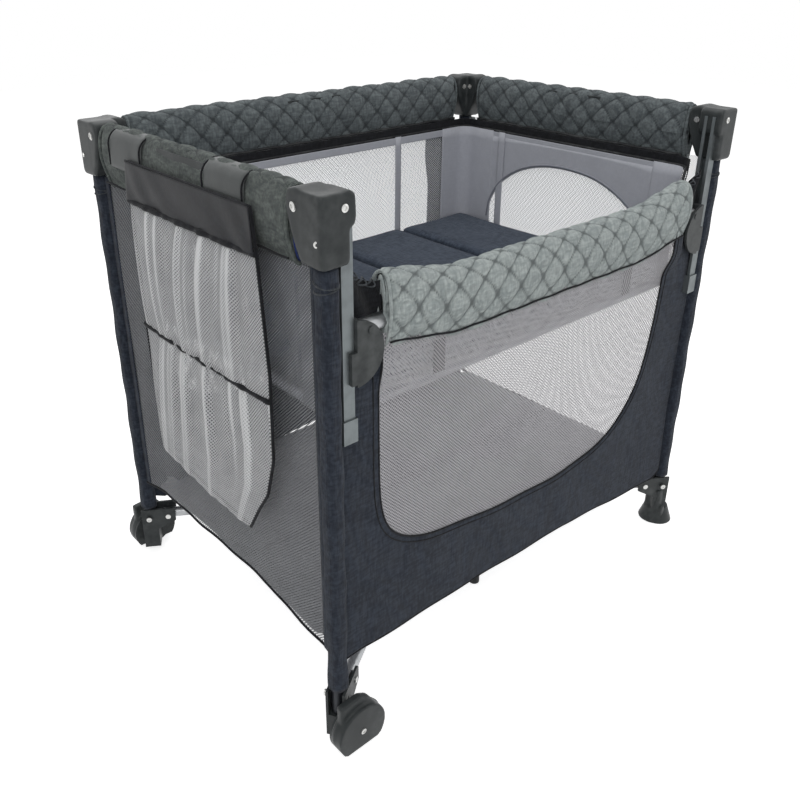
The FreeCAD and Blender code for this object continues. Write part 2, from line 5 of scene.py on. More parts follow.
import bpy
from mathutils import Matrix, Vector
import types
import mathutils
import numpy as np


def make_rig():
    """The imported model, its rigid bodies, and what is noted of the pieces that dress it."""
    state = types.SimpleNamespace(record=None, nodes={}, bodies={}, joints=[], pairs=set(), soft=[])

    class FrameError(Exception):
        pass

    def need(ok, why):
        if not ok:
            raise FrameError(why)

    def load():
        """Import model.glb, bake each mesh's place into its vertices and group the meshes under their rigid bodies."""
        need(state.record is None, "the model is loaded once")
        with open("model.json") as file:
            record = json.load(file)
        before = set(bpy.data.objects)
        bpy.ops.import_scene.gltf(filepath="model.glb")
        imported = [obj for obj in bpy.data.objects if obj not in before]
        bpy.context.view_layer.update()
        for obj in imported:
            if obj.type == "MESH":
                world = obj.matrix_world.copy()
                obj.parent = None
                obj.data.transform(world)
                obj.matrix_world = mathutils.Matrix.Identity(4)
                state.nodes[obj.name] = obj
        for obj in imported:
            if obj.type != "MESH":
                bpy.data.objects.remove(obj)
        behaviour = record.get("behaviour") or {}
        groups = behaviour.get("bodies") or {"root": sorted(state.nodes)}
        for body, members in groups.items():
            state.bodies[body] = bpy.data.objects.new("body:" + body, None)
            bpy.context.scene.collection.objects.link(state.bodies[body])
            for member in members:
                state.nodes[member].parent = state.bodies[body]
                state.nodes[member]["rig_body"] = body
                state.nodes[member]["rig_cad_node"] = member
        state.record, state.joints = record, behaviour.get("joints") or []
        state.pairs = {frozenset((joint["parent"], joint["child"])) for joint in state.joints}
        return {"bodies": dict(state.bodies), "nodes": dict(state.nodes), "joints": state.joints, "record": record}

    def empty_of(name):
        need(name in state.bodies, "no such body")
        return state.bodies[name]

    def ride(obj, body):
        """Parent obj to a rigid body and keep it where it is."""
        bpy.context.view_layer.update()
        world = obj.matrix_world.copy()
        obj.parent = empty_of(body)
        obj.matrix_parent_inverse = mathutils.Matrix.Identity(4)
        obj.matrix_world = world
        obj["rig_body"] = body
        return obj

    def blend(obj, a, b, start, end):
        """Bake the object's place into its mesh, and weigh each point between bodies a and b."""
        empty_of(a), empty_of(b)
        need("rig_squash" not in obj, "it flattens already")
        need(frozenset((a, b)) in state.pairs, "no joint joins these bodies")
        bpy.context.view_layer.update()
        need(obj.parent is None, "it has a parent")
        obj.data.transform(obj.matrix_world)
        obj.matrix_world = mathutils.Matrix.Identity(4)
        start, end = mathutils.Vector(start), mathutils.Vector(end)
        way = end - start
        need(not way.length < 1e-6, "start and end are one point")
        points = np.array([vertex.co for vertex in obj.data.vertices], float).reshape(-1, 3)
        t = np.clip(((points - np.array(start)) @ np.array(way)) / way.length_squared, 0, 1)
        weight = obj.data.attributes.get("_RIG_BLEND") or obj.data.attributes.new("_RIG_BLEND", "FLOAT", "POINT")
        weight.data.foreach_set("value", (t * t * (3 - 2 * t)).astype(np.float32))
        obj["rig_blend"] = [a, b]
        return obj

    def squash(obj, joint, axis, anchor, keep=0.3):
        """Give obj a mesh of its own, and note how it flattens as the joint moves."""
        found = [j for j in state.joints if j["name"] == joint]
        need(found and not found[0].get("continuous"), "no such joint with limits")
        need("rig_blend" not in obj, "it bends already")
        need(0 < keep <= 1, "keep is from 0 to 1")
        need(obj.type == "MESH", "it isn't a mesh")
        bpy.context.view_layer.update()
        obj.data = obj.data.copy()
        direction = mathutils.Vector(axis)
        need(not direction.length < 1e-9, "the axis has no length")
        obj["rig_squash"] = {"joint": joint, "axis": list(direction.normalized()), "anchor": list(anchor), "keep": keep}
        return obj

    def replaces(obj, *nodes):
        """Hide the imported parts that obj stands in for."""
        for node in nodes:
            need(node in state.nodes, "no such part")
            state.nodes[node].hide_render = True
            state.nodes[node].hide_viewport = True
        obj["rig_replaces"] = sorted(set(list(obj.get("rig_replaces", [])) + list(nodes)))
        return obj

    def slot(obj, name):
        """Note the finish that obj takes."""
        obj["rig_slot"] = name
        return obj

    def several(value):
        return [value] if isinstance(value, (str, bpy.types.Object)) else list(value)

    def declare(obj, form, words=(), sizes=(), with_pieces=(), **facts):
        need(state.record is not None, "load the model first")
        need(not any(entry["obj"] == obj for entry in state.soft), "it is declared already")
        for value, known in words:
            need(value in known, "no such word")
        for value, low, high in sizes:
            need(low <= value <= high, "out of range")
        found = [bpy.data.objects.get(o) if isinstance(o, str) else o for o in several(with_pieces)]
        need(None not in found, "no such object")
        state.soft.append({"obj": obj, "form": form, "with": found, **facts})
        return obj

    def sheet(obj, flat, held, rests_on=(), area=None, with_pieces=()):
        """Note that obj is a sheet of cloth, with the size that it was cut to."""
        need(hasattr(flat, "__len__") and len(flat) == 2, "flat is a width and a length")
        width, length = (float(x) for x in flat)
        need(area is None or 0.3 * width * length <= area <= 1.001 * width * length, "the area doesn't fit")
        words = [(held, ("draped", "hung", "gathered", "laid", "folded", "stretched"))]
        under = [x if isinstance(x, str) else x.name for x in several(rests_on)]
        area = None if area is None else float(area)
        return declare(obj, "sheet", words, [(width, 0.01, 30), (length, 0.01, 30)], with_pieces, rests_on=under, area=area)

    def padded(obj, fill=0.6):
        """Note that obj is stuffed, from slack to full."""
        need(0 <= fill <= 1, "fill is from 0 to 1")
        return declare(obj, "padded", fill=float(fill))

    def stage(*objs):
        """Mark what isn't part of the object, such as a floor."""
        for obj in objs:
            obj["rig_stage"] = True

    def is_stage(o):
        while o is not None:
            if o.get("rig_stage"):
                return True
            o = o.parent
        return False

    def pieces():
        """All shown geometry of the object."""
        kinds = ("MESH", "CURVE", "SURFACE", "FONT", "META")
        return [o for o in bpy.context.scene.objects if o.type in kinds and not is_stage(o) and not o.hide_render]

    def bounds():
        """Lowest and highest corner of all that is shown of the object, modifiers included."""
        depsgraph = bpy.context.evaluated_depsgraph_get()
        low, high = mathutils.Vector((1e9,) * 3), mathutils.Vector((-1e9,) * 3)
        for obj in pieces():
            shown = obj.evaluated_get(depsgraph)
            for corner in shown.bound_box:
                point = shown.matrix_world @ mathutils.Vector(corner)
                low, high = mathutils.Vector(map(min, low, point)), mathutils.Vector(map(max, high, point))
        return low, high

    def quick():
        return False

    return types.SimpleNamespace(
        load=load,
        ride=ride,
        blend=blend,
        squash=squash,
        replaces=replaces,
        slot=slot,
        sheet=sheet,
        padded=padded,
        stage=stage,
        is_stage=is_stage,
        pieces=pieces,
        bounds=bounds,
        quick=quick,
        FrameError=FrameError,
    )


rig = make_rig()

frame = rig.load()
cad_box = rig.bounds()

# ---------------------------------------------------------------- sizes, in metres
POST_X = 0.430
POST_Y = 0.300
RAIL_Z = 0.832
SIDE_FACE = 0.4305
FRONT_FACE = 0.3005
FOLD_X = 0.27
FOLD_Y = 0.34
CORNERS = {
    "front_left": (-1, -1),
    "back_left": (-1, 1),
    "front_right": (1, -1),
    "back_right": (1, 1),
}


# ---------------------------------------------------------------- colours
def tone(red, green, blue):
    """A colour given from 0 to 255, as the linear colour that a node takes."""
    def linear(value):
        share = value / 255
        return share / 12.92 if share <= 0.04045 else ((share + 0.055) / 1.055) ** 2.4
    return (linear(red), linear(green), linear(blue), 1.0)


# ---------------------------------------------------------------- node groups
def new_group(name, inputs, outputs):
    """An empty node group with these sockets, and its two end nodes."""
    tree = bpy.data.node_groups.new(name, "ShaderNodeTree")
    kinds = {"vector": "NodeSocketVector", "number": "NodeSocketFloat", "colour": "NodeSocketColor"}
    for label, kind, value in inputs:
        socket = tree.interface.new_socket(label, in_out="INPUT", socket_type=kinds[kind])
        if value is not None:
            socket.default_value = value
    for label, kind in outputs:
        tree.interface.new_socket(label, in_out="OUTPUT", socket_type=kinds[kind])
    return tree, tree.nodes.new("NodeGroupInput"), tree.nodes.new("NodeGroupOutput")


def add(tree, kind, **settings):
    """A node of that kind, with settings put on it, and inputs where the name matches a socket."""
    node = tree.nodes.new("ShaderNode" + kind)
    for key, value in settings.items():
        setattr(node, key, value)
    return node


def maths(tree, operation, first, second=None, clamp=False):
    """A maths node. Each input is a number or another node's output."""
    node = add(tree, "Math", operation=operation, use_clamp=clamp)
    for place, value in enumerate((first, second)):
        if value is None:
            continue
        if isinstance(value, (int, float)):
            node.inputs[place].default_value = value
        else:
            tree.links.new(value, node.inputs[place])
    return node.outputs[0]


def noise(tree, vector, scale, detail=2.0, stretch=(1, 1, 1)):
    """Noise whose grain is 1 / scale metres, longer along the axes with a small stretch."""
    mapping = add(tree, "Mapping")
    mapping.inputs["Scale"].default_value = stretch
    tree.links.new(vector, mapping.inputs["Vector"])
    node = add(tree, "TexNoise")
    node.inputs["Scale"].default_value = scale
    node.inputs["Detail"].default_value = detail
    tree.links.new(mapping.outputs[0], node.inputs["Vector"])
    return node.outputs["Fac"]


def levels(tree, value, low, high, bottom=0.0, top=1.0):
    """Value from low to high becomes bottom to top, and no further."""
    node = add(tree, "MapRange", clamp=True)
    tree.links.new(value, node.inputs["Value"])
    for label, number in (("From Min", low), ("From Max", high), ("To Min", bottom), ("To Max", top)):
        node.inputs[label].default_value = number
    return node.outputs["Result"]


def blend_colours(tree, share, first, second):
    """Mixes two colours by share. Each colour is a tuple or another node's output."""
    node = add(tree, "Mix", data_type="RGBA")
    colour_inputs = [socket for socket in node.inputs if socket.type == "RGBA"]
    if isinstance(share, (int, float)):
        node.inputs["Factor"].default_value = share
    else:
        tree.links.new(share, node.inputs["Factor"])
    for socket, value in zip(colour_inputs, (first, second)):
        if isinstance(value, tuple):
            socket.default_value = value
        else:
            tree.links.new(value, socket)
    return next(socket for socket in node.outputs if socket.type == "RGBA")


def make_heather():
    """Melange cloth: two yarn colours that mix in short flecks along both thread directions."""
    tree, inside, outside = new_group(
        "heather_weave",
        [("Vector", "vector", None), ("Ground", "colour", None), ("Fleck", "colour", None),
         ("Fleck share", "number", 0.5), ("Thread", "number", 2900.0)],
        [("Color", "colour"), ("Height", "number")],
    )
    vector = inside.outputs["Vector"]
    warp = noise(tree, vector, 260, 3, (1, 0.25, 0.25))
    weft = noise(tree, vector, 240, 3, (0.25, 1, 1))
    patches = noise(tree, vector, 22, 3)
    flecks = maths(tree, "ADD", maths(tree, "MULTIPLY", warp, weft), maths(tree, "MULTIPLY", patches, 0.18))
    share = maths(tree, "MULTIPLY", levels(tree, flecks, 0.24, 0.46), inside.outputs["Fleck share"])
    colour = blend_colours(tree, share, inside.outputs["Ground"], inside.outputs["Fleck"])
    tree.links.new(colour, outside.inputs["Color"])
    split = add(tree, "SeparateXYZ")
    tree.links.new(vector, split.inputs[0])
    rows = maths(tree, "SINE", maths(tree, "MULTIPLY", split.outputs[0], inside.outputs["Thread"]))
    picks = maths(tree, "SINE", maths(tree, "MULTIPLY", split.outputs[1], inside.outputs["Thread"]))
    knots = maths(tree, "MULTIPLY", rows, picks)
    height = maths(tree, "ADD", maths(tree, "MULTIPLY", knots, 0.5), maths(tree, "MULTIPLY", flecks, 1.2))
    tree.links.new(height, outside.inputs["Height"])
    return tree


def make_net():
    """Knitted net: rows of round holes, each row set half a hole along. Mask is 1 on the yarn and 0 in a hole."""
    tree, inside, outside = new_group(
        "knitted_net",
        [("Vector", "vector", None), ("Pitch", "number", 0.0032), ("Hole", "number", 0.30)],
        [("Mask", "number"), ("Height", "number")],
    )
    turn = add(tree, "Mapping")
    turn.inputs["Rotation"].default_value = (0, 0, math.radians(45))
    tree.links.new(inside.outputs["Vector"], turn.inputs["Vector"])
    shrink = add(tree, "VectorMath", operation="SCALE")
    tree.links.new(turn.outputs[0], shrink.inputs[0])
    tree.links.new(maths(tree, "DIVIDE", 1.0, inside.outputs["Pitch"]), shrink.inputs["Scale"])
    cells = add(tree, "TexVoronoi", voronoi_dimensions="2D")
    cells.inputs["Scale"].default_value = 1.0
    cells.inputs["Randomness"].default_value = 0.0
    tree.links.new(shrink.outputs[0], cells.inputs["Vector"])
    past_edge = maths(tree, "SUBTRACT", cells.outputs["Distance"], inside.outputs["Hole"])
    mask = levels(tree, past_edge, -0.05, 0.05)
    tree.links.new(mask, outside.inputs["Mask"])
    tree.links.new(cells.outputs["Distance"], outside.inputs["Height"])
    return tree


def make_moulded():
    """Moulded plastic: a fine spark-eroded grain, faint flow marks and dust that dulls it in patches."""
    tree, inside, outside = new_group(
        "moulded_grain",
        [("Vector", "vector", None), ("Base", "colour", None), ("Gloss", "number", 0.42)],
        [("Color", "colour"), ("Roughness", "number"), ("Height", "number")],
    )
    vector = inside.outputs["Vector"]
    grain = noise(tree, vector, 1400, 2)
    flow = noise(tree, vector, 14, 4, (1, 1, 0.3))
    rubbed = noise(tree, vector, 60, 5)
    lighter = blend_colours(tree, 0.16, inside.outputs["Base"], (0.5, 0.52, 0.52, 1))
    share = maths(tree, "MULTIPLY", levels(tree, flow, 0.35, 0.7), levels(tree, rubbed, 0.3, 0.7))
    colour = blend_colours(tree, share, inside.outputs["Base"], lighter)
    tree.links.new(colour, outside.inputs["Color"])
    dull = maths(tree, "MULTIPLY", levels(tree, rubbed, 0.3, 0.75), 0.14)
    tree.links.new(maths(tree, "ADD", inside.outputs["Gloss"], dull, True), outside.inputs["Roughness"])
    tree.links.new(grain, outside.inputs["Height"])
    return tree


def make_drawn():
    """Drawn or rolled metal: long fine lines along the part, with small dull marks."""
    tree, inside, outside = new_group(
        "drawn_metal",
        [("Vector", "vector", None), ("Base", "colour", None), ("Gloss", "number", 0.3)],
        [("Color", "colour"), ("Roughness", "number"), ("Height", "number")],
    )
    vector = inside.outputs["Vector"]
    lines = noise(tree, vector, 900, 2, (1, 1, 0.03))
    marks = noise(tree, vector, 45, 5)
    darker = blend_colours(tree, 0.3, inside.outputs["Base"], (0.02, 0.02, 0.025, 1))
    colour = blend_colours(tree, levels(tree, marks, 0.45, 0.8), inside.outputs["Base"], darker)
    tree.links.new(colour, outside.inputs["Color"])
    dull = maths(tree, "MULTIPLY", levels(tree, maths(tree, "MULTIPLY", lines, marks), 0.1, 0.5), 0.25)
    tree.links.new(maths(tree, "ADD", inside.outputs["Gloss"], dull, True), outside.inputs["Roughness"])
    tree.links.new(lines, outside.inputs["Height"])
    return tree


GROUPS = {
    "heather": make_heather(),
    "net": make_net(),
    "moulded": make_moulded(),
    "drawn": make_drawn(),
}


# ---------------------------------------------------------------- materials
def new_material(name):
    """An empty material with its Principled shader, its tree and its coordinates node."""
    material = bpy.data.materials.new(name)
    material.use_nodes = True
    tree = material.node_tree
    shader = tree.nodes["Principled BSDF"]
    return material, tree, shader, add(tree, "TexCoord")


def place_group(tree, key, vector, **values):
    """One of the shared groups, with its inputs set."""
    node = tree.nodes.new("ShaderNodeGroup")
    node.node_tree = GROUPS[key]
    tree.links.new(vector, node.inputs["Vector"])
    for label, value in values.items():
        node.inputs[label.replace("_", " ")].default_value = value
    return node


def raise_surface(tree, shader, height, distance, strength=1.0):
    """Height moves the shading normal, as a bump that many metres high."""
    bump = add(tree, "Bump")
    bump.inputs["Distance"].default_value = distance
    bump.inputs["Strength"].default_value = strength
    tree.links.new(height, bump.inputs["Height"])
    tree.links.new(bump.outputs[0], shader.inputs["Normal"])


def heather_cloth(name, ground, fleck, share=0.6, source="Object", rough=0.92, sheen=0.10, depth=0.0006,
                  stitched=False):
    """Woven melange cloth. Where it is stitched, the piece's stitch attribute darkens the seams."""
    material, tree, shader, place = new_material(name)
    cloth = place_group(tree, "heather", place.outputs[source], Ground=ground, Fleck=fleck, Fleck_share=share)
    colour = cloth.outputs["Color"]
    if stitched:
        seam = add(tree, "Attribute", attribute_name="stitch")
        dark = blend_colours(tree, 0.55, ground, (0.012, 0.014, 0.016, 1))
        colour = blend_colours(tree, seam.outputs["Fac"], colour, dark)
    tree.links.new(colour, shader.inputs["Base Color"])
    shader.inputs["Roughness"].default_value = rough
    shader.inputs["Specular IOR Level"].default_value = 0.2
    shader.inputs["Sheen Weight"].default_value = sheen
    shader.inputs["Sheen Roughness"].default_value = 0.5
    raise_surface(tree, shader, cloth.outputs["Height"], depth)
    return material


def plastic(name, base, gloss=0.42):
    """Moulded plastic."""
    material, tree, shader, place = new_material(name)
    skin = place_group(tree, "moulded", place.outputs["Object"], Base=base, Gloss=gloss)
    tree.links.new(skin.outputs["Color"], shader.inputs["Base Color"])
    tree.links.new(skin.outputs["Roughness"], shader.inputs["Roughness"])
    shader.inputs["Specular IOR Level"].default_value = 0.22
    raise_surface(tree, shader, skin.outputs["Height"], 0.0001, 0.5)
    return material


def metal(name, base, gloss=0.3, metallic=1.0):
    """Drawn, plated or anodised metal."""
    material, tree, shader, place = new_material(name)
    skin = place_group(tree, "drawn", place.outputs["Object"], Base=base, Gloss=gloss)
    tree.links.new(skin.outputs["Color"], shader.inputs["Base Color"])
    tree.links.new(skin.outputs["Roughness"], shader.inputs["Roughness"])
    shader.inputs["Metallic"].default_value = metallic
    raise_surface(tree, shader, skin.outputs["Height"], 0.00005, 0.4)
    return material


def net_cloth(name, yarn, pitch=0.0034, hole=0.30, shade=None, gathered=False):
    """Net on its own map in metres: open holes, round yarn. Where it is gathered, the piece's gather attribute
    closes the holes, as where net lies doubled in a fold."""
    material, tree, shader, place = new_material(name)
    net = place_group(tree, "net", place.outputs["UV"], Pitch=pitch, Hole=hole)
    patches = noise(tree, place.outputs["UV"], 18, 3)
    colour = blend_colours(tree, levels(tree, patches, 0.3, 0.7), yarn, shade or yarn)
    mask = net.outputs["Mask"]
    if gathered:
        folds = add(tree, "Attribute", attribute_name="gather")
        mask = maths(tree, "MAXIMUM", mask, maths(tree, "MULTIPLY", folds.outputs["Fac"], 0.95))
        colour = blend_colours(tree, folds.outputs["Fac"], colour, (0.86, 0.87, 0.88, 1))
    tree.links.new(colour, shader.inputs["Base Color"])
    tree.links.new(mask, shader.inputs["Alpha"])
    shader.inputs["Roughness"].default_value = 0.7
    shader.inputs["Specular IOR Level"].default_value = 0.3
    shader.inputs["Sheen Weight"].default_value = 0.2
    raise_surface(tree, shader, net.outputs["Height"], 0.0006)
    return material


def satin_cloth(name, base, rough=0.38):
    """Smooth lining cloth with a fine rib and soft gloss."""
    material, tree, shader, place = new_material(name)
    cloth = place_group(tree, "heather", place.outputs["Object"], Ground=base, Fleck=tone(44, 47, 54),
                        Fleck_share=0.25, Thread=3200.0)
    tree.links.new(cloth.outputs["Color"], shader.inputs["Base Color"])
    shader.inputs["Roughness"].default_value = rough
    shader.inputs["Specular IOR Level"].default_value = 0.25
    shader.inputs["Sheen Weight"].default_value = 0.04
    raise_surface(tree, shader, cloth.outputs["Height"], 0.0001)
    return material


CAP_GREY = tone(46, 50, 51)
FINISH = {
    "grey_plastic": plastic("cap_grey_plastic", CAP_GREY, 0.36),
    "dark_plastic": plastic("leg_black_plastic", tone(34, 36, 38), 0.5),
    "guard_plastic": plastic("guard_grey_plastic", tone(84, 87, 87), 0.4),
    "button_plastic": plastic("button_red_plastic", tone(150, 32, 30), 0.35),
    "post_steel": metal("post_coated_steel", tone(46, 49, 54), 0.35, 0.6),
    "tube_steel": metal("tube_plated_steel", tone(176, 178, 180), 0.28),
    "rivet_steel": metal("rivet_bright_steel", tone(205, 205, 203), 0.2),
    "guide_aluminium": metal("guide_grey_aluminium", tone(118, 124, 126), 0.36, 0.75),
    "wheel_rubber": plastic("tyre_black_rubber", tone(27, 28, 29), 0.6),
    "navy_heather": heather_cloth("panel_navy_cloth", tone(37, 42, 52), tone(78, 86, 99), 0.45),
    "mattress_heather": heather_cloth("mattress_navy_cloth", tone(54, 63, 77), tone(94, 104, 120), 0.45),
    "dark_quilt": heather_cloth("rail_dark_quilt", tone(92, 99, 102), tone(150, 159, 160), 0.5, depth=0.0009,
                                stitched=True),
    "light_quilt": heather_cloth("rail_light_quilt", tone(162, 171, 171), tone(216, 224, 221), 0.6,
                                 depth=0.0009, stitched=True),
    "left_quilt": heather_cloth("rail_side_cloth", tone(84, 90, 89), tone(140, 148, 142), 0.55, depth=0.0009,
                                stitched=True),
    "grey_net": net_cloth("side_grey_net", tone(118, 120, 124), 0.0036, 0.34, tone(132, 134, 138)),
    "window_net": net_cloth("window_grey_net", tone(188, 186, 190), 0.0038, 0.35, tone(198, 196, 200)),
    "far_net": net_cloth("far_light_net", tone(232, 236, 237), 0.0024, 0.43, tone(224, 228, 229)),
    "white_net": net_cloth("bassinet_white_net", tone(246, 248, 250), 0.0036, 0.43, tone(240, 242, 245)),
    "pocket_net": net_cloth("pocket_white_net", tone(216, 217, 219), 0.0042, 0.33, tone(196, 197, 200),
                            gathered=True),
    "bassinet_cloth": heather_cloth("bassinet_grey_cloth", tone(182, 184, 192), tone(196, 198, 206), 0.4,
                                    rough=0.7, depth=0.0001),
    "bassinet_trim": heather_cloth("bassinet_dark_trim", tone(136, 139, 148), tone(158, 161, 170), 0.4,
                                   rough=0.7, depth=0.0002),
    "floor_cloth": heather_cloth("floor_grey_cloth", tone(192, 192, 196), tone(208, 208, 212), 0.5,
                                 rough=0.8, depth=0.0002),
    "binding": heather_cloth("black_binding_tape", tone(20, 21, 24), tone(52, 54, 60), 0.35, depth=0.0003),
    "satin": satin_cloth("organiser_black_satin", tone(20, 21, 25), 0.5),
    "zip": plastic("black_zip_teeth", tone(24, 25, 28), 0.4),
    "blue_lining": satin_cloth("rail_blue_lining", tone(24, 48, 122), 0.5),
    "elastic": heather_cloth("grey_elastic_cord", tone(60, 64, 68), tone(110, 114, 118), 0.5, depth=0.0003),
}
for node in frame["nodes"].values():
    for place in node.material_slots:
        slot_name = place.material.name if place.material else ""
        if slot_name in FINISH:
            place.material = FINISH[slot_name]


# ---------------------------------------------------------------- modelling helpers
def start_piece():
    """Nothing stays selected before a primitive is added."""
    if bpy.context.object and bpy.context.object.mode != "OBJECT":
        bpy.ops.object.mode_set(mode="OBJECT")
    bpy.ops.object.select_all(action="DESELECT")


def close_seams(piece):
    """Edges that lie on each other are merged, and faces turned outwards."""
    start_piece()
    piece.select_set(True)
    bpy.context.view_layer.objects.active = piece
    bpy.ops.object.mode_set(mode="EDIT")
    bpy.ops.mesh.select_all(action="SELECT")
    bpy.ops.mesh.remove_doubles(threshold=1e-5)
    bpy.ops.mesh.normals_make_consistent(inside=False)
    bpy.ops.object.mode_set(mode="OBJECT")


def thicken(piece, wall, offset=0.0):
    """Solidify, applied."""
    start_piece()
    piece.select_set(True)
    bpy.context.view_layer.objects.active = piece
    bpy.ops.object.modifier_add(type="SOLIDIFY")
    piece.modifiers[-1].thickness = wall
    piece.modifiers[-1].offset = offset
    bpy.ops.object.modifier_apply(modifier=piece.modifiers[-1].name)


def dress(piece, finish, slot_name, smooth=True):
    """Puts the finish on a piece, with smooth shading and its slot."""
    piece.data.materials.clear()
    piece.data.materials.append(FINISH[finish])
    for face in piece.data.polygons:
        face.use_smooth = smooth
    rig.slot(piece, slot_name)
    return piece


def cloth(name, across, down, size, shape, finish, slot_name, wall=0.0):
    """A sheet modelled from a grid of that many faces, cut to size (width, length). shape(u, v) places a point of the cut."""
    start_piece()
    bpy.ops.mesh.primitive_grid_add(x_subdivisions=across, y_subdivisions=down, size=2)
    sheet = bpy.context.object
    sheet.name = name
    shares = []
    for vertex in sheet.data.vertices:
        share = ((vertex.co.x + 1) / 2, (vertex.co.y + 1) / 2)
        shares.append(share)
        vertex.co = shape(*share)
    layer = sheet.data.uv_layers.active
    for loop in sheet.data.loops:
        u, v = shares[loop.vertex_index]
        layer.data[loop.index].uv = (u * size[0], v * size[1])
    sheet.data.update()
    if wall:
        thicken(sheet, wall)
    return dress(sheet, finish, slot_name)


def tape(name, points, radius, finish, slot_name, closed=False):
    """Piping, cord or a binding that follows these points, as a swept tube."""
    start_piece()
    bpy.ops.curve.primitive_nurbs_path_add()
    path = bpy.context.object
    path.name = name
    path.data.splines.clear()
    line = path.data.splines.new("POLY")
    line.points.add(len(points) - 1)
    for point, place in zip(line.points, points):
        point.co = (*place, 1.0)
    line.use_cyclic_u = closed
    path.data.bevel_depth = radius
    path.data.bevel_resolution = 2
    path.data.use_fill_caps = not closed
    bpy.ops.object.convert(target="MESH")
    piece = bpy.context.object
    return dress(piece, finish, slot_name)


def smoothstep(low, high, value):
    """0 below low, 1 above high, and a smooth rise between."""
    share = min(max((value - low) / (high - low), 0.0), 1.0)
    return share * share * (3 - 2 * share)


def along_points(points, share):
    """The point at that share of the length along straight runs between points, eased at the corners."""
    lengths = [math.dist(a, b) for a, b in zip(points, points[1:])]
    goal = share * sum(lengths)
    for (a, b), length in zip(zip(points, points[1:]), lengths):
        if goal <= length or (a, b) == (points[-2], points[-1]):
            part = goal / length if length else 0
            return tuple(x + (y - x) * part for x, y in zip(a, b))
        goal -= length


def rounded_line(points, count, passes=12):
    """count points along a line through these corners, with the corners rounded by averaging."""
    line = [Vector(along_points(points, i / (count - 1))) for i in range(count)]
    for _ in range(passes):
        line = [line[0]] + [(line[i - 1] + line[i] * 2 + line[i + 1]) / 4 for i in range(1,
                                                                                         count - 1)] + [line[-1]]
    return line


def interpolate(table, value):
    """The second number of a table of pairs, between its rows."""
    if value <= table[0][0]:
        return table[0][1]
    for (x0, y0), (x1, y1) in zip(table, table[1:]):
        if value <= x1:
            share = (value - x0) / (x1 - x0)
            return y0 + (y1 - y0) * share
    return table[-1][1]


# ---------------------------------------------------------------- moulded hardware
def block(name, outline, axis, low, high, round_off=0.0, segments=3):
    """A plate cut to an outline and extruded from low to high along axis 0, 1 or 2, with its edges rounded."""
    start_piece()
    bpy.ops.mesh.primitive_circle_add(vertices=len(outline), radius=0.01, fill_type="NGON")
    piece = bpy.context.object
    piece.name = name
    for vertex, (first, second) in zip(piece.data.vertices, outline):
        place = [first, second]
        place.insert(axis, low)
        vertex.co = place
    bpy.ops.object.mode_set(mode="EDIT")
    bpy.ops.mesh.select_all(action="SELECT")
    move = [0.0, 0.0, 0.0]
    move[axis] = high - low
    bpy.ops.mesh.extrude_region_move(TRANSFORM_OT_translate={"value": move})
    bpy.ops.mesh.select_all(action="SELECT")
    bpy.ops.mesh.normals_make_consistent(inside=False)
    if round_off:
        bpy.ops.mesh.bevel(offset=round_off, segments=segments, affect="EDGES")
    bpy.ops.object.mode_set(mode="OBJECT")
    return piece


def fuse(name, parts, grain, passes, finish, slot_name):
    """Joins overlapping parts into one moulding with soft edges."""
    start_piece()
    for part in parts:
        part.select_set(True)
    bpy.context.view_layer.objects.active = parts[0]
    if len(parts) > 1:
        bpy.ops.object.join()
    piece = bpy.context.object
    piece.name = name
    bpy.ops.object.modifier_add(type="REMESH")
    piece.modifiers[-1].mode = "VOXEL"
    piece.modifiers[-1].voxel_size = grain
    bpy.ops.object.modifier_apply(modifier=piece.modifiers[-1].name)
    bpy.ops.object.modifier_add(type="SMOOTH")
    piece.modifiers[-1].factor = 0.5
    piece.modifiers[-1].iterations = passes
    bpy.ops.object.modifier_apply(modifier=piece.modifiers[-1].name)
    return dress(piece, finish, slot_name)


def rivet(name, place, facing, radius, body):
    """A domed rivet with a rolled rim and a drilled middle, facing that way."""
    start_piece()
    bpy.ops.mesh.primitive_cylinder_add(vertices=28, radius=radius, depth=radius * 0.5,
                                        location=(0, 0, radius * 0.2))
    piece = bpy.context.object
    piece.name = name
    bpy.ops.object.transform_apply(location=True)
    bpy.ops.object.mode_set(mode="EDIT")
    bpy.ops.mesh.select_all(action="DESELECT")
    bpy.ops.object.mode_set(mode="OBJECT")
    for face in piece.data.polygons:
        face.select = face.normal.z > 0.9
    bpy.ops.object.mode_set(mode="EDIT")
    bpy.ops.mesh.select_mode(type="FACE")
    bpy.ops.mesh.inset(thickness=radius * 0.32, depth=radius * 0.14)
    bpy.ops.mesh.inset(thickness=radius * 0.20, depth=0.0)
    bpy.ops.mesh.inset(thickness=radius * 0.06, depth=-radius * 0.24)
    bpy.ops.object.mode_set(mode="OBJECT")
    turn = Vector(facing).to_track_quat("Z", "Y").to_matrix().to_4x4()
    piece.data.transform(turn)
    piece.data.transform(Matrix.Translation(place))
    dress(piece, "rivet_steel", "rivet_steel", False)
    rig.ride(piece, body)
    return piece


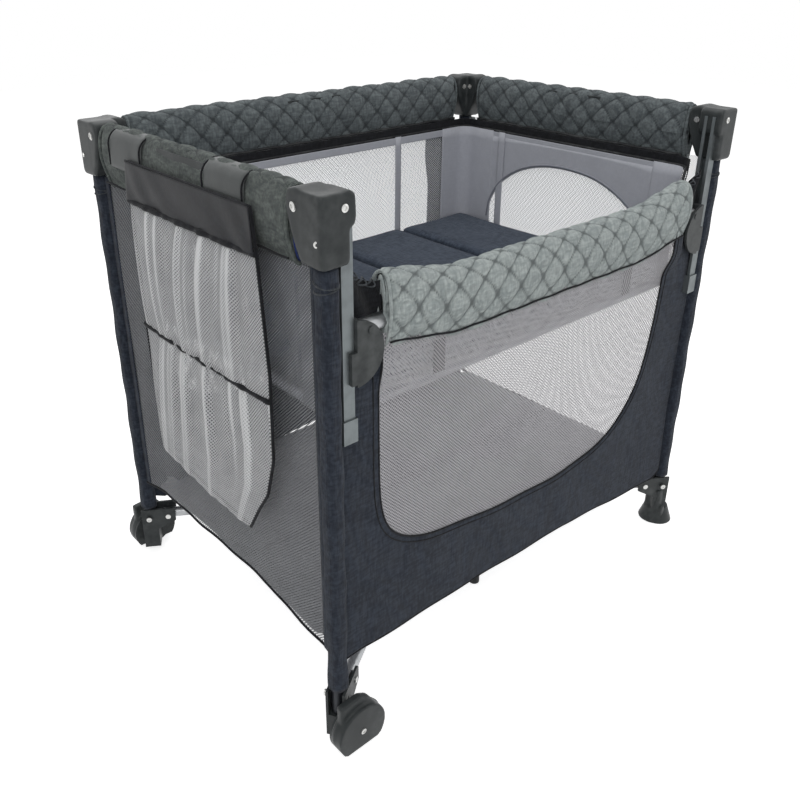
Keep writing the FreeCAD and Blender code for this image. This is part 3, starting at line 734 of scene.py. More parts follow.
CORNER_BODY = {
    "front_left": "post_front_left",
    "back_left": "frame_back_left",
    "front_right": "post_front_right",
    "back_right": "post_back_right",
}
LOBE = ((-0.0215, 0.772), (-0.0215, 0.8540), (0.000, 0.8525), (0.030, 0.8560), (0.0440, 0.8520),
        (0.0475, 0.838),
        (0.0460, 0.822), (0.0350, 0.792), (0.0225, 0.768), (-0.0170, 0.766))
GUIDE_LOBE = ((-0.0215, 0.772), (-0.0215, 0.8540), (0.002, 0.8520), (0.022, 0.8555), (0.0305, 0.8500),
              (0.0315, 0.822),
              (0.0290, 0.8130), (0.0215, 0.8100), (0.0200, 0.768), (-0.0170, 0.766))
for corner, (sx, sy) in CORNERS.items():
    px, py = sx * POST_X, sy * POST_Y
    along_side = [(py - sy * d, z) for d, z in LOBE]
    front_outline = GUIDE_LOBE if sy < 0 else LOBE
    along_front = [(px - sx * d, z) for d, z in front_outline]
    parts = [
        block("cap_side_lobe", along_side, 0, px - 0.0212, px + 0.0212, 0.0035),
        block("cap_front_lobe", along_front, 1, py - 0.0212, py + 0.0212, 0.0035),
    ]
    cap = fuse("moulded_cap_" + corner, parts, 0.0019, 14, "grey_plastic", "grey_plastic")
    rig.ride(cap, CORNER_BODY[corner])
    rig.replaces(cap, "cap_" + corner)
    facing = Vector((sx, sy * 0.62, 0)).normalized()
    rivet("cap_screw_" + corner, (px + facing.x * 0.0218 + sx * 0.0010, py + facing.y * 0.0215, 0.798),
          facing, 0.0042,
          CORNER_BODY[corner])
    rivet("cap_rivet_side_" + corner, (px + sx * 0.0205, py - sy * 0.030, 0.8340), (sx, 0, 0), 0.0052,
          CORNER_BODY[corner])
    reach = 0.012 if sy < 0 else 0.030
    rivet("cap_rivet_front_" + corner, (px - sx * reach, py + sy * 0.0205, 0.8360), (0, sy, 0), 0.0050,
          CORNER_BODY[corner])

# casters: a rounded bell over each wheel's housing
for corner, sy in (("front_left", -1), ("back_left", 1)):
    start_piece()
    bpy.ops.mesh.primitive_cylinder_add(vertices=72, radius=0.0440, depth=0.0240,
                                        location=(-0.417, sy * 0.3300, 0.0400),
                                        rotation=(math.pi / 2, 0, 0))
    bell = bpy.context.object
    bpy.ops.object.transform_apply(location=True, rotation=True)
    bpy.ops.object.mode_set(mode="EDIT")
    bpy.ops.mesh.select_all(action="SELECT")
    bpy.ops.mesh.bisect(plane_co=(0, 0, 0.0085), plane_no=(0, 0, 1), use_fill=True, clear_inner=True)
    bpy.ops.object.mode_set(mode="OBJECT")
    neck = block("neck",
                 [(-0.4515, 0.030), (-0.4515, 0.100), (-0.4150, 0.102), (-0.3990, 0.092), (-0.3820, 0.066),
                  (-0.3800, 0.045)],
                 1, sy * 0.3215, sy * 0.3345, 0.003)
    rib = block("rib",
                [(-0.417 + 0.0455 * math.cos(math.radians(a)), 0.040 + 0.0455 * math.sin(math.radians(a)))
                        for a in range(-30, 200, 10)]
                + [(-0.417 + 0.0400 * math.cos(math.radians(a)), 0.040 + 0.0400 * math.sin(math.radians(a)))
                   for a in range(190, -40, -10)], 1, sy * 0.3245, sy * 0.3275)
    bell = fuse("caster_bell_" + corner, [bell, neck, rib], 0.0017, 9, "grey_plastic", "grey_plastic")
    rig.ride(bell, CORNER_BODY[corner])
    rivet("caster_axle_" + corner, (-0.4170, sy * 0.3412, 0.0400), (0, sy, 0), 0.0048, CORNER_BODY[corner])

# the pin through each post's foot shows on both cheeks
DIAGONAL = math.radians(32.15)
CHEEK = 0.0200
for corner, (sx, sy) in CORNERS.items():
    across = (math.sin(DIAGONAL) * sx, -math.cos(DIAGONAL) * sy)
    for label, side in (("a", -1), ("b", 1)):
        rivet("post_pin_%s_%s" % (corner, label),
              (sx * POST_X + side * across[0] * CHEEK, sy * POST_Y + side * across[1] * CHEEK, 0.0880),
              (side * across[0], side * across[1], 0), 0.0050, CORNER_BODY[corner])

# feet: a rounded tongue over each foot's pad
for corner, sy in (("front_right", -1), ("back_right", 1)):
    px, py = POST_X, sy * POST_Y
    start_piece()
    bpy.ops.mesh.primitive_cone_add(vertices=56, radius1=0.0310, radius2=0.0200, depth=0.0330,
                                    location=(px, py, 0.0167))
    pad = bpy.context.object
    bpy.ops.object.transform_apply(location=True)
    stem = block("stem",
                 [(px - 0.0200, 0.020), (px - 0.0130, 0.060), (px - 0.0185, 0.076), (px + 0.0185, 0.076),
                          (px + 0.0130, 0.060), (px + 0.0200, 0.020)], 1, py - 0.0165, py + 0.0165, 0.004)
    rib = block("toe_rib", [(px - 0.009 + 0.007 * math.cos(t * 0.5236), 0.030 + 0.013 * math.sin(t * 0.5236))
                            for t in range(12)], 1, py + sy * 0.0180, py + sy * 0.0250, 0.002)
    pad = fuse("foot_pad_" + corner, [pad, stem, rib], 0.0017, 6, "grey_plastic", "grey_plastic")
    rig.ride(pad, CORNER_BODY[corner])

# ---------------------------------------------------------------- quilted rail covers
QUILT_LONG = 0.050
QUILT_TALL = 0.040
QUILT_PUFF = 0.0042


def quilt_rise(along, round_it, depth):
    """How far the wadding stands above the stitches there."""
    a = along / QUILT_LONG + round_it / QUILT_TALL
    b = along / QUILT_LONG - round_it / QUILT_TALL
    puff = abs(math.sin(math.pi * a)) * abs(math.sin(math.pi * b))
    return depth * (puff ** 0.38), puff


def wrinkle(along, round_it, seed):
    """Slow uneven folds of hand-fitted cloth."""
    return (
        math.sin(along * 37 + seed) * math.sin(round_it * 61 + seed * 2.3)
        + 0.6 * math.sin(along * 83 + round_it * 47 + seed * 5.1)
    )


def rail_cover(name, start, end, place, profile, finish, slot_name, quilted, seed, rings, side):
    """One padded length of rail cover. place(along, across, z) gives a point; profile(along) gives middle z,
    half height, half thickness and the share of thickness left at the bottom edge. quilted(angle) is how much of
    the quilting shows there."""
    around = 96
    seams = []

    def shape(u, v):
        along = start + (end - start) * u
        middle, half_height, half_thick, low_share = profile(along)
        angle = 2 * math.pi * v
        lift = math.sin(angle)
        reach = math.cos(angle)
        z = middle + half_height * math.copysign(abs(lift) ** 0.86, lift)
        narrow = low_share + (1 - low_share) * smoothstep(middle - half_height, middle + half_height * 0.15,
                                                          z)
        across = half_thick * math.copysign(abs(reach) ** 0.8, reach) * narrow
        round_it = v * 2 * math.pi * (half_height * 0.62 + half_thick * 0.38)
        rise, puff = quilt_rise(along, round_it, QUILT_PUFF)
        rise *= quilted(angle)
        seams.append(quilted(angle) * smoothstep(0.15, 0.01, puff))
        rise += 0.0007 * wrinkle(along, round_it, seed)
        normal = Vector((reach / half_thick, lift / half_height)).normalized()
        pulled = min(abs(along - start), abs(along - end)) if side is None else abs(along - side)
        tuck = 1 - 0.5 * (1 - smoothstep(0, 0.010, pulled)) if pulled < 0.010 else 1
        across = (across + normal[0] * rise) * tuck
        z = middle + (z - middle + normal[1] * rise) * (0.86 + 0.14 * tuck)
        return place(along, across, z)

    length = abs(end - start)
    piece = cloth(name, rings, around, (length, 0.26), shape, finish, slot_name)
    marks = piece.data.attributes.new("stitch", "FLOAT", "POINT")
    marks.data.foreach_set("value", seams)
    close_seams(piece)
    return piece


def end_lid(name, along, place, profile, finish, slot_name):
    """The gathered end of a rail cover, drawn in round the tube."""
    def shape(u, v):
        middle, half_height, half_thick, low_share = profile(along)
        angle = 2 * math.pi * u
        size = 0.42 + 0.50 * v
        return place(along, half_thick * 0.55 * math.cos(angle) * size,
                     middle + half_height * math.sin(angle) * size)
    return cloth(name, 40, 3, (0.2, 0.03), shape, finish, slot_name, 0.0012)


def level_profile(along):
    return 0.8035, 0.0490, 0.0190, 0.62


def dropped_profile(along):
    """The dropped front cover is deeper at its ends and bows down a little in the middle."""
    end_share = smoothstep(0.20, 0.36, abs(along))
    top = 0.718 + 0.024 * end_share
    bottom = 0.616 + 0.020 * end_share
    return (top + bottom) / 2, (top - bottom) / 2 - 0.002, 0.0200, 0.72


def all_round(angle):
    return 1.0


def inner_only(angle):
    """The left cover is quilted on its top and inner side, and plain outside."""
    return smoothstep(-0.35, 0.15, math.cos(angle) + 0.35 * math.sin(angle))


RAILS = {
    "back": dict(span=0.381, halves=("rail_back_left_half", "rail_back_right_half"),
                 cloth=("dark_quilt", "dark_quilt"),
                 place=lambda along, across, z: (along, POST_Y - across, z), profile=level_profile,
                 quilt=all_round),
    "left": dict(span=0.251, halves=("rail_left_front_half", "rail_left_rear_half"),
                 cloth=("left_quilt", "dark_quilt"),
                 place=lambda along, across, z: (-POST_X + across, along, z), profile=level_profile,
                 quilt=inner_only),
    "right": dict(span=0.251, halves=("rail_right_front_half", "rail_right_rear_half"),
                  cloth=("dark_quilt", "dark_quilt"),
                  place=lambda along, across, z: (POST_X - across, along, z), profile=level_profile,
                  quilt=all_round),
    "front": dict(span=0.347, halves=("rail_front_left_half", "rail_front_right_half"),
                  cloth=("light_quilt", "light_quilt"),
                  place=lambda along, across, z: (along, -POST_Y + across, z), profile=dropped_profile,
                  quilt=all_round),
}
BLEND_FROM = 0.085
BLEND_TO = 0.015
for number, (rail, facts) in enumerate(RAILS.items()):
    span = facts["span"]
    for half, sign in zip(facts["halves"], (-1, 1)):
        ring_count = int(span / 0.0027)
        piece = rail_cover("cover_" + half[5:], 0.0, sign * span, facts["place"], facts["profile"],
                           facts["cloth"][0],
                           facts["cloth"][1], facts["quilt"], number * 1.7 + 0.4, ring_count, sign * span)
        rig.padded(piece, 0.7)
        lid = end_lid("cover_end_" + half[5:], sign * (span - 0.001), facts["place"], facts["profile"],
                      "blue_lining" if half in ("rail_left_front_half",
                                                "rail_front_right_half") else facts["cloth"][0],
                      facts["cloth"][1])
        rim = []
        middle, half_height, half_thick, low_share = facts["profile"](sign * span)
        for step in range(36):
            angle = 2 * math.pi * step / 36
            lift, reach = math.sin(angle), math.cos(angle)
            z = middle + (half_height - 0.001) * math.copysign(abs(lift) ** 0.86, lift)
            narrow = low_share + (1 - low_share) * smoothstep(middle - half_height,
                                                              middle + half_height * 0.15, z)
            across = (half_thick - 0.001) * math.copysign(abs(reach) ** 0.8, reach) * narrow
            rim.append(facts["place"](sign * (span - 0.002 + 0.0012 * math.sin(angle * 3)), across, z))
        end_piping = tape("end_piping_" + half[5:], rim, 0.0026, facts["cloth"][0], facts["cloth"][1],
                          closed=True)
        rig.ride(end_piping, half)
        lid_wide = half_thick * 0.55 * 0.92
        lid_tall = half_height * 0.92
        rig.sheet(lid, (lid_wide * 2, lid_tall * 2), "gathered", rests_on=[piece],
                 area=math.pi * lid_wide * lid_tall * (1 - (0.42 / 0.92) ** 2), with_pieces=[end_piping])
        # the zip along the inner lower edge and the piping along the outer one
        lines = []
        for label, across, drop, radius, finish in (("zip", 0.0165, 0.012, 0.0028, "zip"),
                                                    ("piping", -0.0150, 0.010, 0.0016, "binding")):
            points = []
            for step in range(41):
                along = sign * (span - 0.004) * step / 40
                middle, half_height, half_thick, low_share = facts["profile"](along)
                points.append(facts["place"](along, across,
                                             middle - half_height + drop + 0.0006 * math.sin(along * 90)))
            lines.append(tape(label + "_" + half[5:], points, radius, finish, facts["cloth"][1]))
        for item in [piece, *lines]:
            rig.blend(item, half, "latch_" + rail, facts["place"](sign * BLEND_FROM, 0, RAIL_Z),
                     facts["place"](sign * BLEND_TO, 0, RAIL_Z))
        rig.ride(lid, half)
        if sign < 0:
            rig.replaces(piece, "rail_cover_" + rail)

# ---------------------------------------------------------------- rail guards
GUARDS = (("guard_front", -0.1650, -0.0700, "rail_left_front_half"),
          ("guard_rear", 0.1050, 0.2050, "rail_left_rear_half"))
GUARD_R = 0.0228
for name, low, high, body in GUARDS:
    def guard_shape(u, v, low=low, high=high):
        along = low + (high - low) * u
        lip = 0.0012 * (smoothstep(0.04, 0.0, u) + smoothstep(0.96, 1.0, u))
        angle = math.radians(-25 + 205 * v)
        radius = GUARD_R - lip * 2
        across = radius * math.cos(angle)
        z = 0.8290 + (radius + 0.0015) * math.sin(angle)
        if v > 0.85:
            z -= (v - 0.85) / 0.15 * 0.030
        return (-POST_X + across, along, z)
    guard = cloth(name, 24, 48, (high - low, 0.1), guard_shape, "guard_plastic", "guard_plastic", 0.0020)
    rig.ride(guard, body)
    for edge, along in (("a", low), ("b", high)):
        rim = [(-POST_X + (GUARD_R + 0.0002) * math.cos(math.radians(a)), along,
                0.8290 + (GUARD_R + 0.0017) * math.sin(math.radians(a))) for a in range(-25, 181, 5)]
        rim.append((rim[-1][0], along, rim[-1][2] - 0.028))
        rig.ride(tape(name + "_edging_" + edge, rim, 0.0013, "binding", "dark_quilt"), body)

# ---------------------------------------------------------------- post sleeves
SLEEVE_HEM_Z = 0.108
SLEEVE_TOP_Z = 0.767
for corner, (sx, sy) in CORNERS.items():
    def sleeve_shape(u, v, sx=sx, sy=sy):
        angle = 2 * math.pi * u
        z = SLEEVE_HEM_Z + (SLEEVE_TOP_Z - SLEEVE_HEM_Z) * v
        swell = 0.0132 + 0.0006 * math.sin(z * 71 + sx) + 0.0005 * math.sin(z * 33 + angle * 2)
        squared = swell * (1 + 0.10 * abs(math.sin(2 * angle)))
        return (sx * POST_X + squared * math.cos(angle), sy * POST_Y + squared * math.sin(angle), z)
    sleeve = cloth("sleeve_" + corner, 32, 90, (0.086, 0.644), sleeve_shape, "navy_heather", "navy_fabric")
    close_seams(sleeve)
    thicken(sleeve, 0.0008)
    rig.ride(sleeve, CORNER_BODY[corner])
    cords = []
    for turn_number, z in enumerate((0.7440, 0.7370)):
        ring = []
        for step in range(24):
            angle = 2 * math.pi * step / 24
            ring.append((sx * POST_X + 0.0150 * math.cos(angle), sy * POST_Y + 0.0150 * math.sin(angle),
                         z + 0.0030 * math.sin(angle + turn_number * 2)))
        cord = tape("elastic_" + corner + "_" + "ab"[turn_number], ring, 0.0012, "elastic", "navy_fabric",
                    closed=True)
        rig.ride(cord, CORNER_BODY[corner])
        cords.append(cord)
    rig.sheet(sleeve, (0.086, 0.644), "stretched", rests_on=["post_" + corner], with_pieces=cords)

# ---------------------------------------------------------------- side panels
FRONT_HEM = ((-0.419, 0.150), (-0.387, 0.153), (-0.25, 0.149), (0.09, 0.141), (0.25, 0.122), (0.394, 0.112),
             (0.419, 0.125))
PANEL_EDGE = 0.4185
FRONT_PANEL_TOP = 0.598
BACK_PANEL_TOP = 0.660
WINDOW_LINE = ((-0.352, 0.660), (-0.352, 0.500), (-0.347, 0.385), (-0.330, 0.330), (-0.267, 0.297),
               (-0.10, 0.272),
               (0.05, 0.262), (0.16, 0.272), (0.250, 0.315), (0.290, 0.385), (0.314, 0.470), (0.322, 0.660))
window_left_to_right = rounded_line([(x, 0.0, z) for x, z in WINDOW_LINE], 161, 30)


def front_depth(x, z):
    """The front cloth hangs with slow shallow waves, and its top passes in front of the rail's tube."""
    waves = 0.0014 * math.sin(x * 17 + 1) * math.sin(z * 13) + 0.0008 * math.sin(x * 43 + z * 21)
    return waves + 0.0125 * smoothstep(0.570, 0.620, z) * smoothstep(0.362, 0.345, abs(x))


def panel_ring(name, plane, hem, top):
    """The cloth round a window: u runs along the window's line, v from the window out to the panel's edge."""
    line = window_left_to_right
    count = len(line)

    def outer(u):
        x, _, z = line[round(u * (count - 1))]
        if u < 0.30:
            share = u / 0.30
            return (-PANEL_EDGE, top + (interpolate(hem, -PANEL_EDGE) - top) * share)
        if u > 0.74:
            share = (u - 0.74) / 0.26
            return (PANEL_EDGE, interpolate(hem, PANEL_EDGE) + (top - interpolate(hem, PANEL_EDGE)) * share)
        x = -PANEL_EDGE + (u - 0.30) / 0.44 * 0.837
        return (x, interpolate(hem, x))

    def shape(u, v):
        x0, _, z0 = line[round(u * (count - 1))]
        x1, z1 = outer(u)
        x = x0 + (x1 - x0) * v
        z = z0 + (z1 - z0) * v
        if v > 0.98 and 0.3 < u < 0.74:
            z += 0.001
        return plane(x, z)
    return cloth(name, count - 1, 30, (1.4, 0.16), shape, "navy_heather", "navy_fabric", 0.0010)


def outline_area(outline):
    pairs = zip(outline, outline[1:] + outline[:1])
    return abs(sum(x0 * z1 - x1 * z0 for (x0, z0), (x1, z1) in pairs)) / 2


def window_outline(height):
    return [(point[0], height(point[2])) for point in window_left_to_right]


def cut_area(hem, top, height):
    """The flat area of a panel as it is cut: its outline, less the window's line."""
    outline = window_outline(height)
    outline.append((PANEL_EDGE, height(top)))
    hem_line = [PANEL_EDGE - 0.837 * i / 60 for i in range(61)]
    outline += [(x, height(interpolate(hem, x))) for x in hem_line]
    outline.append((-PANEL_EDGE, height(top)))
    return outline_area(outline)


def net_fill(name, plane, finish, slot_name, top):
    """The net behind a window: rows run across from one side of the window's line to the other."""
    line = window_left_to_right
    count = len(line)

    def shape(u, v):
        # u picks a matching pair of points on the two sides, v runs from left to right
        left = line[round(u * 80)]
        right = line[count - 1 - round(u * 80)]
        x = left[0] + (right[0] - left[0]) * v
        z = left[2] + (right[2] - left[2]) * v
        return plane(x, min(z, top))
    piece = cloth(name, 80, 60, (0.9, 0.7), shape, finish, slot_name)
    layer = piece.data.uv_layers.active
    for loop in piece.data.loops:
        co = piece.data.vertices[loop.vertex_index].co
        layer.data[loop.index].uv = (co.x, co.z)
    return piece


def front_plane(x, z):
    return (x, -FRONT_FACE - front_depth(x, z), z)


def raised(z):
    """The back panel's upper part is taller than the front one's, up to the back rail's cover."""
    return z + max(0.0, z - 0.50) * 0.62


def back_plane(x, z):
    return (x, FRONT_FACE + front_depth(x, z), raised(z))


front_ring = panel_ring("front_panel_cloth", front_plane, FRONT_HEM, FRONT_PANEL_TOP)
front_net = net_fill("front_window_net", lambda x, z: (x, -FRONT_FACE + 0.0016 - front_depth(x, z), z),
                     "window_net", "grey_mesh", 0.7)
front_piping = tape("front_window_piping", [front_plane(p[0], p[2]) for p in window_left_to_right], 0.0016,
                    "binding", "navy_fabric")
band_line = []
for step, point in enumerate(window_left_to_right):
    before = window_left_to_right[max(step - 1, 0)]
    after = window_left_to_right[min(step + 1, len(window_left_to_right) - 1)]
    run = (after - before).normalized()
    band_line.append(front_plane(point[0] + run[2] * 0.0095, point[2] - run[0] * 0.0095))
front_band = tape("front_window_band_seam", [(x, y - 0.0004, z) for x, y, z in band_line], 0.0011, "binding",
                  "navy_fabric")
hem_points = [front_plane(-0.418 + 0.836 * i / 60,
                          interpolate(FRONT_HEM, -0.418 + 0.836 * i / 60)) for i in range(61)]
front_hem = tape("front_hem_binding", hem_points, 0.0015, "binding", "navy_fabric")
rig.sheet(front_ring, (0.837, 0.52), "stretched", rests_on=["post_front_left", "post_front_right"],
         area=cut_area(FRONT_HEM, FRONT_PANEL_TOP, lambda z: z),
         with_pieces=[front_piping, front_band, front_hem])
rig.sheet(front_net, (0.69, 0.40), "stretched", rests_on=["front_panel_cloth"],
         area=outline_area(window_outline(lambda z: z)))
for piece in (front_ring, front_net, front_piping, front_band, front_hem):
    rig.ride(piece, "post_front_left")
    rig.squash(piece, "fold", (1, 0, 0), (-POST_X, -POST_Y, 0.4), FOLD_X)
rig.replaces(front_ring, "panel_front")

BACK_HEM = tuple((-x, z) for x, z in reversed(FRONT_HEM))
back_ring = panel_ring("back_panel_cloth", back_plane, BACK_HEM, BACK_PANEL_TOP)
back_net = net_fill("back_window_net", lambda x, z: (x, FRONT_FACE - 0.0016 + front_depth(x, z), raised(z)),
                    "far_net", "grey_mesh", 0.9)
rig.sheet(back_ring, (0.837, 0.62), "stretched", rests_on=["post_back_left", "post_back_right"],
         area=cut_area(BACK_HEM, BACK_PANEL_TOP, raised))
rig.sheet(back_net, (0.69, 0.50), "stretched", rests_on=["back_panel_cloth"],
         area=outline_area(window_outline(raised)))
for piece in (back_ring, back_net):
    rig.ride(piece, "frame_back_left")
    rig.squash(piece, "fold", (1, 0, 0), (-POST_X, POST_Y, 0.4), FOLD_X)
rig.replaces(back_ring, "panel_back")

SIDE_HEM = ((-0.289, 0.160), (-0.27, 0.166), (-0.13, 0.185), (0.05, 0.189), (0.217, 0.181), (0.289, 0.170))
for name, sx, body, replaced in (("left", -1, "frame_back_left", "panel_left"),
                                 ("right", 1, "post_back_right", "panel_right")):
    def side_shape(u, v, sx=sx):
        y = -0.288 + 0.576 * u
        bottom = interpolate(SIDE_HEM, y) if sx < 0 else 0.136
        z = bottom + (0.766 - bottom) * v
        wave = 0.0016 * math.sin(y * 23) * math.sin(z * 9) + 0.0009 * math.sin(y * 61 + z * 17)
        return (sx * (SIDE_FACE + wave), y, z)
    net = cloth(name + "_side_net", 72, 60, (0.576, 0.585), side_shape, "grey_net" if sx < 0 else "far_net",
                "grey_mesh")
    edge = tape(name + "_side_hem", [side_shape(i / 40, 0) for i in range(41)], 0.0022, "binding",
                "navy_fabric")
    strips = []
    for label, centre in (("front", -0.281), ("rear", 0.281)):
        def strip_shape(u, v, sx=sx, centre=centre):
            y = centre + 0.010 * (u * 2 - 1)
            bottom = (interpolate(SIDE_HEM, y) if sx < 0 else 0.136) - 0.002
            return (sx * (SIDE_FACE + 0.0012), y, bottom + (0.764 - bottom) * v)
        strip = cloth(name + "_side_strip_" + label, 4, 60, (0.020, 0.60), strip_shape, "navy_heather",
                      "navy_fabric", 0.0008)
        strips.append(strip)
    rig.sheet(net, (0.576, 0.585), "stretched", rests_on=["sleeve_front_" + name, "sleeve_back_" + name],
             with_pieces=[edge, *strips])
    for piece in (net, edge, *strips):
        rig.ride(piece, body)
        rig.squash(piece, "fold", (0, 1, 0), (sx * POST_X, POST_Y, 0.4), FOLD_Y)
    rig.replaces(net, replaced)

# ---------------------------------------------------------------- floor
for corner, (sx, sy) in CORNERS.items():
    def floor_shape(u, v, sx=sx, sy=sy):
        corner_pull = 1 - 0.075 * smoothstep(1.80, 2.0, u + v)
        x = sx * (0.0001 + 0.4270 * u) * corner_pull
        y = sy * (0.0001 + 0.2970 * v) * corner_pull
        sag = 0.0016 * math.sin(x * 11) * math.sin(y * 13)
        rise = 0.0
        if sx < 0:
            rise = (interpolate(SIDE_HEM, y) - 0.1392) * smoothstep(0.80, 1.0, u) ** 2
        if sy < 0:
            rise = max(rise,
                       (max(interpolate(FRONT_HEM, x), 0.140) + 0.005 - 0.1392) * smoothstep(0.84, 1.0,
                                                                                             v) ** 2)
        return (x, y, 0.1392 + sag + rise)
    quarter = cloth("floor_" + corner, 30, 22, (0.4270, 0.2970), floor_shape, "floor_cloth", "floor_fabric",
                    0.0016)
    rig.sheet(quarter, (0.4270, 0.2970), "laid", rests_on=["lower_tube_" + corner])
    tube_turn = math.atan2(0.2775 - 0.0608, 0.4075 - 0.0495)
    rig.ride(quarter, "lower_tube_" + corner)
    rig.squash(quarter, "fold", (-math.sin(tube_turn) * sx, math.cos(tube_turn) * sy, 0),
              (sx * 0.430, sy * 0.300, 0.139), 0.06)
    if corner == "front_left":
        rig.replaces(quarter, "floor_fabric")

# ---------------------------------------------------------------- bassinet
WALL_X = 0.4060
WALL_Y = 0.2760


def bassinet_outline(share):
    """A point and its outward direction on the bassinet's rounded rectangle, from the middle of the back."""
    corner = 0.025
    runs = [2 * (WALL_X - corner), 2 * (WALL_Y - corner), 2 * (WALL_X - corner), 2 * (WALL_Y - corner)]
    turn_length = math.pi / 2 * corner
    total = sum(runs) + 4 * turn_length
    goal = share * total
    starts = [(-WALL_X + corner, WALL_Y), (WALL_X, WALL_Y - corner), (WALL_X - corner, -WALL_Y),
              (-WALL_X, -WALL_Y + corner)]
    ways = [(1, 0), (0, -1), (-1, 0), (0, 1)]
    for run, start, way in zip(runs, starts, ways):
        if goal <= run:
            return start[0] + way[0] * goal, start[1] + way[1] * goal
        goal -= run
        end = (start[0] + way[0] * run, start[1] + way[1] * run)
        if goal <= turn_length:
            angle = goal / corner
            outward = (-way[1], way[0])
            centre = (end[0] - outward[0] * corner, end[1] - outward[1] * corner)
            return (centre[0] + corner * (outward[0] * math.cos(angle) + way[0] * math.sin(angle)),
                    centre[1] + corner * (outward[1] * math.cos(angle) + way[1] * math.sin(angle)))
        goal -= turn_length
    return starts[0]


def rim_height(x, y):
    """The rim dips to the dropped front rail."""
    return 0.750 - 0.052 * smoothstep(-0.18, -0.262, y) * smoothstep(0.392, 0.370, abs(x))


def wall_shape(u, v):
    x, y = bassinet_outline(u % 1.0)
    top = rim_height(x, y)
    z = 0.537 + (top - 0.537) * v
    puff = 1 - 0.006 * math.sin(math.pi * v) - 0.0016 * math.sin(u * 190) * math.sin(math.pi * v)
    return (x * puff, y * puff, z)


wall = cloth("bassinet_wall", 260, 26, (2.6, 0.215), wall_shape, "white_net", "bassinet_fabric")
close_seams(wall)
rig.ride(wall, "bassinet")
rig.replaces(wall, "bassinet")


def bassinet_floor_shape(u, v):
    return ((u * 2 - 1) * (WALL_X - 0.004), (v * 2 - 1) * (WALL_Y - 0.004), 0.5368)


tray = cloth("bassinet_floor", 60, 40, (0.80, 0.544), bassinet_floor_shape, "bassinet_cloth",
             "bassinet_fabric", 0.0012)
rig.sheet(tray, (0.80, 0.544), "laid", rests_on=["bassinet_wall"])
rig.ride(tray, "bassinet")


def wall_band(name, first, last, low, high, steps, inset=0.0035, finish="bassinet_cloth"):
    """Grey cloth sewn on the inside of the wall, between two shares of its length and two heights above the floor."""
    def shape(u, v):
        share = first + (last - first) * u
        x, y, z = wall_shape(share, low(u) + (high(u) - low(u)) * v)
        scale_x = 1 - inset / WALL_X
        scale_y = 1 - inset / WALL_Y
        return (x * scale_x, y * scale_y, z)
    band = cloth(name, steps, 10, (abs(last - first) * 2.6, 0.03), shape, finish, "bassinet_fabric", 0.0008)
    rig.ride(band, "bassinet")
    return band


OUTLINE = 4 * (WALL_X + WALL_Y) - 8 * 0.025 + 2 * math.pi * 0.025
TURN = math.pi / 2 * 0.025
BACK_RUN = 2 * (WALL_X - 0.025)
SIDE_RUN = 2 * (WALL_Y - 0.025)
RIGHT_START = BACK_RUN + TURN
FRONT_START = RIGHT_START + SIDE_RUN + TURN
LEFT_START = FRONT_START + BACK_RUN + TURN


def back_share(x):
    return (x + WALL_X - 0.025) / OUTLINE


def arch(u):
    """The lower edge of the cloth over an end wall's arched window."""
    return 0.10 + 0.66 * max(0.0, 1 - abs(2 * u - 1) ** 2.2) ** 0.5


bands = [wall_band("bassinet_top_band", 0.0, 1.0, lambda u: 0.925, lambda u: 0.992, 260)]
for number, x in enumerate((-0.203, 0.203)):
    half = 0.0080 / OUTLINE
    bands.append(wall_band("bassinet_strap_%d" % (number + 1), back_share(x) - half, back_share(x) + half,
                           lambda u: 0.0, lambda u: 1.0, 4, 0.0042))
for name, low, high in (
    ("back_right", back_share(0.334), (RIGHT_START + 0.060) / OUTLINE),
    ("front_right", (FRONT_START - TURN - 0.045) / OUTLINE, (FRONT_START + 0.03) / OUTLINE),
    ("front_left", (LEFT_START - TURN - 0.03) / OUTLINE, (LEFT_START + 0.045) / OUTLINE),
    ("back_left", (LEFT_START + SIDE_RUN - 0.060) / OUTLINE, (LEFT_START + SIDE_RUN + TURN + 0.07) / OUTLINE),
):
    bands.append(wall_band("bassinet_corner_" + name, low, high, lambda u: 0.0, lambda u: 1.0, 30, 0.0040))
for name, start in (("right", RIGHT_START), ("left", LEFT_START)):
    low, high = (start + 0.055) / OUTLINE, (start + SIDE_RUN - 0.040) / OUTLINE
    bands.append(wall_band("bassinet_%s_end_cloth" % name, low, high, arch, lambda u: 0.95, 90, 0.0036))
    trim = []
    for step in range(91):
        x, y, z = wall_shape(low + (high - low) * step / 90, arch(step / 90) + 0.02)
        trim.append((x * (1 - 0.0050 / WALL_X), y, z))
    trim_tape = tape("bassinet_%s_window_binding" % name, trim, 0.0020, "bassinet_trim", "bassinet_fabric")
    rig.ride(trim_tape, "bassinet")
    bands.append(trim_tape)
    strap_at = (start + (0.085 if name == "right" else SIDE_RUN - 0.085)) / OUTLINE
    bands.append(wall_band("bassinet_%s_strap" % name, strap_at - 0.009 / OUTLINE, strap_at + 0.009 / OUTLINE,
                           lambda u: 0.0, lambda u: 1.0, 4, 0.0060))

bands.append(wall_band("bassinet_zip_tape", 0.0, 1.0, lambda u: 0.965, lambda u: 1.07, 260, -0.0035,
                       "binding"))
rim_points = [wall_shape(i / 260, 1.0) for i in range(260)]
bands.append(tape("bassinet_rim", rim_points, 0.0026, "zip", "bassinet_fabric", closed=True))
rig.ride(bands[-1], "bassinet")
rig.sheet(wall, (2.6, 0.215), "hung",
         rests_on=["cover_back_left_half", "cover_left_rear_half", "cover_right_rear_half"],
         with_pieces=bands)

